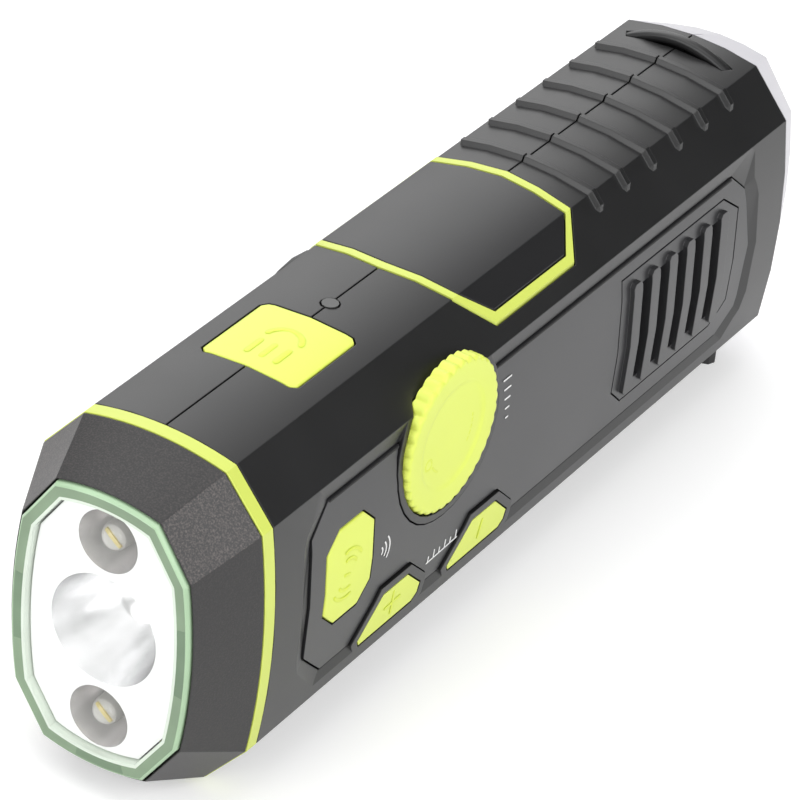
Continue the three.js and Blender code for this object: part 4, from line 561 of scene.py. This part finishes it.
# Meshes made here
def mesh_piece(name, points, faces, limit):
    mesh = bpy.data.meshes.new(name)
    mesh.from_pydata(points, [], faces)
    work = bmesh.new()
    work.from_mesh(mesh)
    bmesh.ops.recalc_face_normals(work, faces=work.faces)
    work.to_mesh(mesh)
    work.free()
    shade_fine(mesh, limit)
    return linked(name, mesh)


def ring_faces(rings, count, closed):
    faces = []
    for i in range(rings if closed else rings - 1):
        for j in range(count):
            k = (j + 1) % count
            low, high = i * count, ((i + 1) % rings) * count
            faces.append((low + j, low + k, high + k, high + j))
    return faces


def ring_piece(name, rings, closed=False, limit=SHARP_PLAIN):
    """A body whose surface runs through rings of points: back to the first ring when closed,
    and otherwise with flat ends."""
    count = len(rings[0])
    points = [point for ring in rings for point in ring]
    faces = ring_faces(len(rings), count, closed)
    if not closed:
        faces.append(tuple(range(count)))
        faces.append(tuple(range(len(points) - count, len(points))))
    return mesh_piece(name, points, faces, limit)


def circle(radius, count, centre=(0.0, 0.0)):
    """Points round a circle, as pairs of numbers."""
    angles = (2 * math.pi * i / count for i in range(count))
    return [(centre[0] + radius * math.cos(a), centre[1] + radius * math.sin(a)) for a in angles]


def turned_ring(radius, y, z, count):
    """A ring about a line along Y at that height over the middle."""
    return [at(across, y, up) for across, up in circle(radius, count, (0.0, z))]


# Sections of the case and front
def crowned_side(start, end, crown):
    length = math.hypot(end[0] - start[0], end[1] - start[1])
    out = ((end[1] - start[1]) / length, (start[0] - end[0]) / length)
    points = []
    for i in range(CROWN_STEPS + 1):
        t = i / CROWN_STEPS
        rise = crown * (1 - (2 * t - 1) ** 2)
        points.append(tuple(start[k] + (end[k] - start[k]) * t + out[k] * rise for k in (0, 1)))
    return points


def section_outline(section, inset=0.0):
    """The eight-sided outline with crowned sides, top and bottom, moved in by inset. Its four
    crowned stretches are the right, the upper, the left and the lower one."""
    rise, run = section["height"] - section["side"], section["width"] - section["top"]
    slant = math.hypot(rise, run)
    rise, run = rise / slant, run / slant
    width, height = section["width"] - inset, section["height"] - inset
    reach = rise * section["top"] + run * section["height"] - inset
    top = (reach - run * height) / rise
    side = (reach - rise * width) / run
    corners = (
        ((width, -side), (width, side)), ((top, height), (-top, height)),
        ((-width, side), (-width, -side)), ((-top, -height), (top, -height)),
    )
    return [point for start, end in corners for point in crowned_side(start, end, section["crown"])]


def section_between(share):
    """The section that lies this share of the way from the front to the case."""
    return {key: FRONT[key] + (CASE[key] - FRONT[key]) * share for key in CASE}


def section_ring(section, inset, y):
    return [at(x, y, z) for x, z in section_outline(section, inset)]


# Front end
def front_bezel():
    """The tapering bezel with the pocket that the lens lies in."""
    rings = [section_ring(section_between(y / BEZEL_LENGTH), inset, y) for inset, y in BEZEL_OUTSIDE]
    rings += [section_ring(FRONT, inset, y) for inset, y in BEZEL_POCKET]
    rings.append(section_ring(section_between(1.0), *BEZEL_INSIDE))
    bezel = ring_piece("front_bezel_fine", rings, closed=True, limit=SHARP_FRONT)
    assign(bezel, materials["bezel_black"])
    adopt(bezel, "case", "bezel_black", "front_bezel")


def colour_ring():
    """The lime ring between the bezel and the shells."""
    rings = [section_ring(CASE, inset, y) for inset, y in RING_PROFILE]
    ring = ring_piece("front_ring_fine", rings, closed=True, limit=SHARP_FRONT)
    # the ring takes the darker copy of the lime: painted shade
    assign(ring, lime_top_shade)
    adopt(ring, "case", "lime", "front_ring")


def lens_rim():
    """The thick green edge of the lens, with a pale outer bevel, a pale inner lip, and darker stretches
    where clips behind the rim show through, painted with the shade they cast.
    """
    rings = [section_ring(FRONT, inset, y) for inset, y, _ in RIM_PROFILE]
    rim = ring_piece("lens_rim", rings, closed=True, limit=SHARP_LENS)
    assign(rim, lens_green, lens_pale, lens_clip_shade, lens_lip)
    side_points = CROWN_STEPS + 1
    for index, face in enumerate(rim.data.polygons):
        band, place = divmod(index, len(rings[0]))
        side, step = divmod(place, side_points)
        start, end = RIM_CLIP_SHADE_SPANS.get(side, (1, 0))
        dark = band == RIM_FACE_BAND and start < step / side_points < end
        face.material_index = RIM_CLIP_SHADE if dark else RIM_PROFILE[band][2]
    adopt(rim, "case", "clear", "front_lens")


def lens_sheet():
    """The clear pane inside the rim."""
    inset = RIM_WIDTH - PANE["overlap"]
    rings = [section_ring(FRONT, inset, PANE[side]) for side in ("front", "back")]
    sheet = ring_piece("lens_sheet", rings, limit=SHARP_LENS)
    assign(sheet, lens_pane)
    adopt(sheet, "case", "clear", "front_lens")


def reflector_plate():
    """The white plate with its three round openings."""
    work = bmesh.new()
    loops = [section_outline(FRONT, PLATE["inset"])]
    loops += [circle(cup["radius"], cup["steps"], (0.0, z)) for cup, z in CUPS.values()]
    edges = []
    for loop in loops:
        corners = [work.verts.new(at(x, PLATE["front"], z)) for x, z in loop]
        edges += [work.edges.new((corners[i - 1], corners[i])) for i in range(len(corners))]
    bmesh.ops.triangle_fill(work, use_beauty=True, use_dissolve=False, edges=edges)
    extruded = bmesh.ops.extrude_face_region(work, geom=list(work.faces))["geom"]
    moved = [item for item in extruded if isinstance(item, bmesh.types.BMVert)]
    bmesh.ops.translate(work, verts=moved, vec=(0, (PLATE["back"] - PLATE["front"]) * MM, 0))
    bmesh.ops.recalc_face_normals(work, faces=work.faces)
    mesh = bpy.data.meshes.new("reflector_plate")
    work.to_mesh(mesh)
    work.free()
    shade_fine(mesh, SHARP_LENS)
    plate = linked("reflector_plate", mesh)
    assign(plate, materials["white"])
    adopt(plate, "case", "white", "reflector")


def reflector_cup(place, finish):
    """A mirrored cup of parabola section with a narrow lip."""
    cup, z = CUPS[place]
    radius = cup["radius"]
    inner = []
    for i in range(1, CUP_PROFILE_STEPS + 1):
        t = i / CUP_PROFILE_STEPS
        wide = cup["throat"] + (radius - cup["throat"]) * math.sqrt(1 - t)
        inner.append((wide, PLATE["front"] + t * cup["depth"]))
    profile = [(radius + CUP_LIP["width"], PLATE["front"] + CUP_LIP["drop"])]
    profile.append((radius, PLATE["front"] + CUP_LIP["width"]))
    profile += inner + [(wide + CUP_WALL, y) for wide, y in reversed(inner)]
    profile.append((radius + CUP_WALL, PLATE["back"] - CUP_LIP["drop"]))
    rings = [turned_ring(wide, y, z, cup["steps"]) for wide, y in profile]
    piece = ring_piece("reflector_" + place, rings, closed=True, limit=SHARP_CUP)
    assign(piece, finish)
    adopt(piece, "case", "white", "reflector")


def chip_rings(z):
    """Corners of the long chip, front and back, turned about the lamp's axis."""
    turn = math.radians(LAMP_CHIP["turn"])
    corners = []
    for length_side, width_side in ((-1, -1), (1, -1), (1, 1), (-1, 1)):
        along, over = length_side * LAMP_CHIP["half_length"], width_side * LAMP_CHIP["half_width"]
        x = along * math.cos(turn) - over * math.sin(turn)
        corners.append((x, along * math.sin(turn) + over * math.cos(turn)))
    return [[at(x, LAMP_CHIP[end], z + up) for x, up in corners] for end in ("front", "back")]


def small_lamp(node, z):
    """A clear round lamp with flange, barrel and dome over a pale seat and a long chip."""
    back = (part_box(node)[1].y - ORIGIN.y) / MM
    collar = back - LAMP["flange_depth"]
    profile = [
        (LAMP["axis"], back), (LAMP["flange"], back), (LAMP["flange"], collar),
        (LAMP["radius"], collar - LAMP["shoulder"]),
    ]
    for i in range(LAMP_DOME_STEPS + 1):
        angle = math.pi / 2 * i / LAMP_DOME_STEPS
        wide = max(LAMP["axis"], LAMP["radius"] * math.cos(angle))
        profile.append((wide, LAMP["tip"] + LAMP["radius"] * (1 - math.sin(angle))))
    dome = ring_piece(node + "_dome", [turned_ring(wide, y, z, LAMP_STEPS) for wide, y in profile])
    assign(dome, materials["clear"])
    adopt(dome, "case", "clear", node)
    seat = ring_piece(node + "_seat", [turned_ring(wide, y, z, LAMP_STEPS) for wide, y in LAMP_SEAT])
    assign(seat, lamp_seat)
    adopt(seat, "case", "clear")
    chip = ring_piece(node + "_chip", chip_rings(z))
    assign(chip, amber)
    adopt(chip, "case", "clear")


def lamps_and_mirrors():
    reflector_plate()
    reflector_cup("main", mirror)
    reflector_cup("upper", silver)
    reflector_cup("lower", silver)
    small_lamp("upper_led", SIDE_CUP_OFFSET)
    small_lamp("lower_led", -SIDE_CUP_OFFSET)


# Seam and lanyard bar
def seam_tongues():
    """Tongues in the case's wall under the seam, so that it can't be seen through."""
    spans = [(span, 1) for span in TOP_SEAM_SPANS] + [(LOWER_SEAM_SPAN, -1)]
    half = SEAM_TONGUE["half_width"]
    for i, (span, side) in enumerate(spans):
        low, high = sorted((side * SEAM_TONGUE["low"], side * SEAM_TONGUE["high"]))
        corners = ((-half, low), (half, low), (half, high), (-half, high))
        tongue = ring_piece(f"seam_tongue_{i + 1}", [[at(x, y, z) for x, z in corners] for y in span])
        assign(tongue, materials["case_black"])
        adopt(tongue, "case", "case_black")


def lanyard_bar():
    """The arched bar over the slot, as one smooth bow of rounded square section."""
    rings = []
    for i in range(LANYARD_BAR["steps"] + 1):
        t = 2 * i / LANYARD_BAR["steps"] - 1
        crest = LANYARD_BAR["top"] - LANYARD_BAR["drop"] * t ** 2
        slope = -2 * LANYARD_BAR["drop"] * t / LANYARD_BAR["half"]
        up = Vector((-slope, 0, 1)).normalized()
        middle = Vector((LANYARD_BAR["half"] * t, LANYARD_BAR["y"], crest)) - up * LANYARD_BAR["depth"]
        ring = []
        for across, rise in circle(1.0, LANYARD_BAR["sides"]):
            across = math.copysign(abs(across) ** LANYARD_BAR["squareness"], across)
            rise = math.copysign(abs(rise) ** LANYARD_BAR["squareness"], rise)
            place = middle + Vector((0, across * LANYARD_BAR["width"] / 2, 0))
            place += up * (rise * LANYARD_BAR["thickness"] / 2)
            ring.append(at(place.x, place.y, place.z))
        rings.append(ring)
    piece = ring_piece("lanyard_bar", rings, limit=SHARP_SOFT)
    assign(piece, materials["case_black"])
    adopt(piece, "case", "case_black")


# Raised and printed signs, as low rounded beads along lines and arcs
def arc(centre, radius, start, end, steps=10):
    angles = (math.radians(start + (end - start) * i / steps) for i in range(steps + 1))
    return [(centre[0] + radius * math.cos(a), centre[1] + radius * math.sin(a)) for a in angles]


def line(start, end, steps=4):
    shares = (i / steps for i in range(steps + 1))
    return [tuple(start[k] + (end[k] - start[k]) * share for k in (0, 1)) for share in shares]


BEAD_SIDES = 10
BEAD_END = ((0.95, 0.3), (0.6, 0.8))  # how far past the last point, and the share of the full size


def bead_rings(path, half_width, rise):
    """Rings of a low rounded bead along a path of points with their surface normals."""
    points = [point for point, _ in path]
    last = len(path) - 1
    rings = []
    for i, (point, normal) in enumerate(path):
        along = (points[min(i + 1, last)] - points[max(i - 1, 0)]).normalized()
        across = along.cross(normal).normalized()
        stages = [(0.0, 1.0)]
        if i == 0:
            stages = [(-shift, scale) for shift, scale in BEAD_END] + stages
        elif i == last:
            stages = stages + list(reversed(BEAD_END))
        for shift, scale in stages:
            middle = point + along * (shift * half_width * MM)
            rings.append([
                middle + across * (side * half_width * scale * MM) + normal * (up * rise * scale * MM)
                for side, up in circle(1.0, BEAD_SIDES)
            ])
    return rings


def bead_piece(name, paths, half_width, rise, material, body, slot):
    """One piece of several low rounded beads."""
    points, faces = [], []
    for path in paths:
        rings = bead_rings(path, half_width, rise)
        base, count = len(points), len(rings[0])
        for ring in rings:
            points += ring
        for face in ring_faces(len(rings), count, False):
            faces.append(tuple(base + index for index in face))
        faces.append(tuple(base + j for j in range(count)))
        faces.append(tuple(base + (len(rings) - 1) * count + j for j in range(count)))
    piece = mesh_piece(name, points, faces, SHARP_SOFT)
    assign(piece, material)
    adopt(piece, body, slot)


# Strokes of the signs: half their width, and their rise
LIGHT_STROKE = (0.55, 0.07)
KEY_STROKE = (0.36, 0.09)
DIAL_STROKE = (0.24, 0.06)
PRINT_STROKE = (0.17, 0.05)
# the dark bead that paints the shadow in the gap over the panel
GAP_SHADE_STROKE = (0.22, 0.06)
# Places on the top are x and y, and those on the right side y and z
RAYS = {"across": (-2.6, 0.2, 3.0), "front": 42.6, "rear": 46.6}
LAMP_ARC = {"centre": (0.2, 48.7), "radius": 3.3, "start": 12, "end": 168, "steps": 18}
WAVES = {"centre": (38.4, 0.6), "radii": (4.6, 2.9), "spans": ((35, 100), (220, 285))}
WAVES_SOURCE = ((37.6, 0.7), (38.9, 0.4))
PLUS_STROKES = (((54.8, -16.6), (54.6, -12.0)), ((52.5, -14.5), (56.9, -14.2)))
MINUS_STROKE = ((82.6, -16.2), (83.0, -12.6))
# Small signs printed beside the dial and the keys
VOLUME_WEDGE = {"y": 87.6, "z": 6.2, "pitch": 1.9, "half_width": 0.35, "growth": 0.22, "bars": 5}
PRINTED_WAVES = {"centre": (48.2, -0.6), "radii": (1.0, 2.1, 3.2), "half_angle": 40}
TUNER_SCALE = {
    "start": (65.4, -12.4), "end": (75.0, -12.0), "first": (65.8, -12.3), "pitch": 1.75, "slope": 0.07,
    "tick": 1.1, "long_tick": 1.6, "ticks": 6,
}
# A dark bead that paints the shadow in the gap over the panel, in front of the dial's well and behind it:
# from y to y, in steps
PANEL_GAP_SHADE = {"z": 17.38, "front": (32.8, 53.2, 12), "rear": (84.2, 166.2, 30), "sink": 0.02}
# Marks in the dial's dish: an arc of dashes, a small ring and a short arc
DIAL_DASHES = {"radius": 6.6, "starts": (-34, -24, -14, -4, 6), "span": 4, "steps": 3}
DIAL_RING = {"centre": (61.9, 9.6), "radius": 1.0, "end": 330, "steps": 14}
DIAL_ARC = {"start": 214, "end": 236, "steps": 5}


def raised_sign(name, paths, point_on, key, stroke, node):
    """A sign on a button, whose paths lie on the face at the level that belongs to key."""
    level = FINE_LEVEL[key]
    placed = [[point_on(first, second, level) for first, second in path] for path in paths]
    # the signs take the darker copy of the lime: painted shade along the raised strokes
    bead_piece(name, placed, *stroke, lime_sign_shade, node, "lime")


def button_marks():
    """Raised generic signs on the keys: a lamp with rays, sound waves, plus and minus."""
    rays = [line((x, RAYS["front"]), (x, RAYS["rear"])) for x in RAYS["across"]]
    raised_sign(
        "light_sign", rays + [arc(**LAMP_ARC)], top_point, "light", LIGHT_STROKE, "light_button",
    )
    waves = []
    for start, end in WAVES["spans"]:
        waves += [arc(WAVES["centre"], radius, start, end) for radius in WAVES["radii"]]
    waves.append(line(*WAVES_SOURCE))
    raised_sign("siren_sign", waves, side_point, "siren", KEY_STROKE, "siren_button")
    plus = [line(start, end) for start, end in PLUS_STROKES]
    raised_sign("plus_sign", plus, side_point, "key", KEY_STROKE, "tuning_up_button")
    raised_sign("minus_sign", [line(*MINUS_STROKE)], side_point, "key", KEY_STROKE, "tuning_down_button")


def volume_wedge():
    bars = []
    for i in range(VOLUME_WEDGE["bars"]):
        half = VOLUME_WEDGE["half_width"] + VOLUME_WEDGE["growth"] * i
        z = VOLUME_WEDGE["z"] + VOLUME_WEDGE["pitch"] * i
        bars.append(line((VOLUME_WEDGE["y"] - half, z), (VOLUME_WEDGE["y"] + half, z)))
    return bars


def tuner_scale():
    ticks = []
    for i in range(TUNER_SCALE["ticks"]):
        y = TUNER_SCALE["first"][0] + TUNER_SCALE["pitch"] * i
        z = TUNER_SCALE["first"][1] + TUNER_SCALE["slope"] * i
        ticks.append(line((y, z), (y, z + TUNER_SCALE["long_tick" if i % 2 else "tick"])))
    return [line(TUNER_SCALE["start"], TUNER_SCALE["end"])] + ticks


def panel_marks():
    """Small printed signs beside the dial and the keys, and a dark bead that paints the shadow in the gap
    over the panel.
    """
    lift = FINE_LEVEL["panel"]
    half_angle = PRINTED_WAVES["half_angle"]
    waves = [
        arc(PRINTED_WAVES["centre"], radius, -half_angle, half_angle) for radius in PRINTED_WAVES["radii"]
    ]
    paths = [[side_point(y, z, lift) for y, z in path] for path in volume_wedge() + waves + tuner_scale()]
    bead_piece("panel_marks", paths, *PRINT_STROKE, print_white, "case", "panel_grey")
    gap_shade_lines = []
    for front, rear, steps in (PANEL_GAP_SHADE["front"], PANEL_GAP_SHADE["rear"]):
        gap_shade_lines.append(line((front, PANEL_GAP_SHADE["z"]), (rear, PANEL_GAP_SHADE["z"]), steps))
    paths = [[side_point(y, z, lift - PANEL_GAP_SHADE["sink"]) for y, z in path] for path in gap_shade_lines]
    # painted shade: a thin dark bead on the panel where the gap under the shell's edge lies in shadow
    bead_piece("panel_gap_shade", paths, *GAP_SHADE_STROKE, materials["rubber"], "case", "rubber")


def dial_wheel():
    """The thumb wheel: rounded scallops round a soft rim, and a shallow dish."""
    count = DIAL["scallops"] * DIAL_STEPS
    rings = []
    for inset, depth, share in DIAL_PROFILE:
        ring = []
        for i in range(count):
            angle = 2 * math.pi * i / count
            wave = abs(math.sin(DIAL["scallops"] * angle / 2))
            radius = DIAL["radius"] - inset - DIAL["depth"] * share * (1 - wave)
            y, z = DIAL["y"] + radius * math.cos(angle), DIAL["z"] + radius * math.sin(angle)
            ring.append(at(DIAL["face"] - depth, y, z))
        rings.append(ring)
    wheel = ring_piece("dial_wheel", rings, limit=SHARP_SOFT)
    assign(wheel, materials["lime"])
    adopt(wheel, "dial", "lime", "radio_dial")


def dial_shaft():
    """The shaft that the wheel has in common with the volume control."""
    inner_end = (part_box("radio_dial")[0].x - ORIGIN.x) / MM
    outline = circle(DIAL_SHAFT["radius"], DIAL_SHAFT["steps"], (DIAL["y"], DIAL["z"]))
    ends = (inner_end, DIAL["back"] + DIAL_SHAFT["overlap"])
    shaft = ring_piece("dial_shaft", [[at(x, y, z) for y, z in outline] for x in ends])
    assign(shaft, materials["lime"])
    adopt(shaft, "dial", "lime", "radio_dial")


def dial_marks():
    """A few raised marks in the wheel's dish."""
    centre = (DIAL["y"], DIAL["z"])
    radius, span, steps = (DIAL_DASHES[key] for key in ("radius", "span", "steps"))
    marks = [arc(centre, radius, start, start + span, steps) for start in DIAL_DASHES["starts"]]
    marks.append(arc(DIAL_RING["centre"], DIAL_RING["radius"], 0, DIAL_RING["end"], DIAL_RING["steps"]))
    marks.append(arc(centre, radius, DIAL_ARC["start"], DIAL_ARC["end"], DIAL_ARC["steps"]))
    level = DIAL["face"] - DIAL_DISH_DEPTH
    outward = Vector((1, 0, 0))
    paths = [[(at(level, y, z), outward) for y, z in path] for path in marks]
    # the marks take the darker copy of the lime: painted shade along the raised strokes
    bead_piece("dial_marks", paths, *DIAL_STROKE, lime_sign_shade, "dial", "lime")


# Light, floor and view. A lamp's azimuth is turned from +Y towards +X, and sizes are metres.
LAMP_AIM = (0, 0, 0.03)
SOFTBOXES = {
    "back_left": {"azimuth": -38, "elevation": 27, "distance": 1.8, "size": (1.3, 0.95), "radiance": 1.5},
    "overhead": {"azimuth": -75, "elevation": 72, "distance": 1.5, "size": (1.6, 1.6), "radiance": 1.25},
    "right": {"azimuth": 97, "elevation": 32, "distance": 1.6, "size": (1.8, 1.3), "radiance": 2.3},
    "front": {"azimuth": 192, "elevation": 26, "distance": 1.6, "size": (1.4, 1.1), "radiance": 2.3},
}
FLOOR_HALF_SIDE = 12.0
FLOOR_COLOUR = 0.76
FLOOR_GLOW = 0.36
WORLD_LEVEL = 0.6
WORLD_SHADE = 0.05  # level in the shaded part of the room
WORLD_SHADE_AIM = (0.60, 0.76, 0.24)
WORLD_SHADE_EDGE = (0.55, 0.92)  # cosines from its aim between which the shade grows


def add_softbox(name, azimuth, elevation, distance, size, radiance):
    """A soft lamp seen from the object in that direction."""
    azimuth, elevation = math.radians(azimuth), math.radians(elevation)
    direction = Vector((
        math.sin(azimuth) * math.cos(elevation),
        math.cos(azimuth) * math.cos(elevation),
        math.sin(elevation),
    ))
    lamp = bpy.data.lights.new(name, "AREA")
    lamp.shape = "RECTANGLE"
    lamp.size, lamp.size_y = size
    lamp.energy = radiance * math.pi * size[0] * size[1]
    obj = bpy.data.objects.new(name, lamp)
    obj.location = Vector(LAMP_AIM) + direction * distance
    obj.rotation_euler = direction.to_track_quat("Z", "Y").to_euler()
    bpy.context.scene.collection.objects.link(obj)


def add_floor():
    """A pale floor that glows a little where it is seen, directly or in metal and glass."""
    mesh = bpy.data.meshes.new("floor")
    side = FLOOR_HALF_SIDE
    corners = [(-side, -side, 0), (side, -side, 0), (side, side, 0), (-side, side, 0)]
    mesh.from_pydata(corners, [], [(0, 1, 2, 3)])
    floor = linked("floor", mesh)
    look = Look("floor")
    look.set(Base_Color=(FLOOR_COLOUR,) * 3 + (1,), Roughness=0.9, Specular_IOR_Level=0.1)
    path = look.add("ShaderNodeLightPath").outputs
    seen = look.math("MAXIMUM", path["Is Camera Ray"], path["Is Glossy Ray"])
    seen = look.math("MAXIMUM", seen, path["Is Transmission Ray"])
    look.set(Emission_Color=(1, 1, 1, 1), Emission_Strength=look.math("MULTIPLY", seen, FLOOR_GLOW))
    assign(floor, look.material)


def add_world():
    """A pale room that is dimmer low down behind the right side."""
    world = bpy.data.worlds.new("studio")
    world.use_nodes = True
    tree = world.node_tree
    background = tree.nodes["Background"]
    background.inputs["Color"].default_value = (1, 1, 1, 1)
    direction = tree.nodes.new("ShaderNodeTexCoord").outputs["Generated"]
    toward = tree.nodes.new("ShaderNodeVectorMath")
    toward.operation = "DOT_PRODUCT"
    toward.inputs[1].default_value = Vector(WORLD_SHADE_AIM).normalized()
    tree.links.new(direction, toward.inputs[0])
    level = tree.nodes.new("ShaderNodeMapRange")
    level.interpolation_type = "SMOOTHSTEP"
    limits = {
        "From Min": WORLD_SHADE_EDGE[0], "From Max": WORLD_SHADE_EDGE[1],
        "To Min": WORLD_LEVEL, "To Max": WORLD_SHADE,
    }
    for key, value in limits.items():
        level.inputs[key].default_value = value
    tree.links.new(toward.outputs["Value"], level.inputs["Value"])
    tree.links.new(level.outputs["Result"], background.inputs["Strength"])
    bpy.context.scene.world = world


add_camera()
add_floor()
add_world()
for name, softbox in SOFTBOXES.items():
    add_softbox(name, **softbox)
bpy.context.scene.view_settings.view_transform = "Standard"

for name, obj in nodes.items():
    assign(obj, materials[slot_of_node[name]])
assign(nodes["charge_light"], smoked)

fine_copies()
seam_tongues()
lanyard_bar()
front_bezel()
colour_ring()
lens_rim()
lens_sheet()
lamps_and_mirrors()
dial_wheel()
dial_shaft()
dial_marks()
button_marks()
panel_marks()
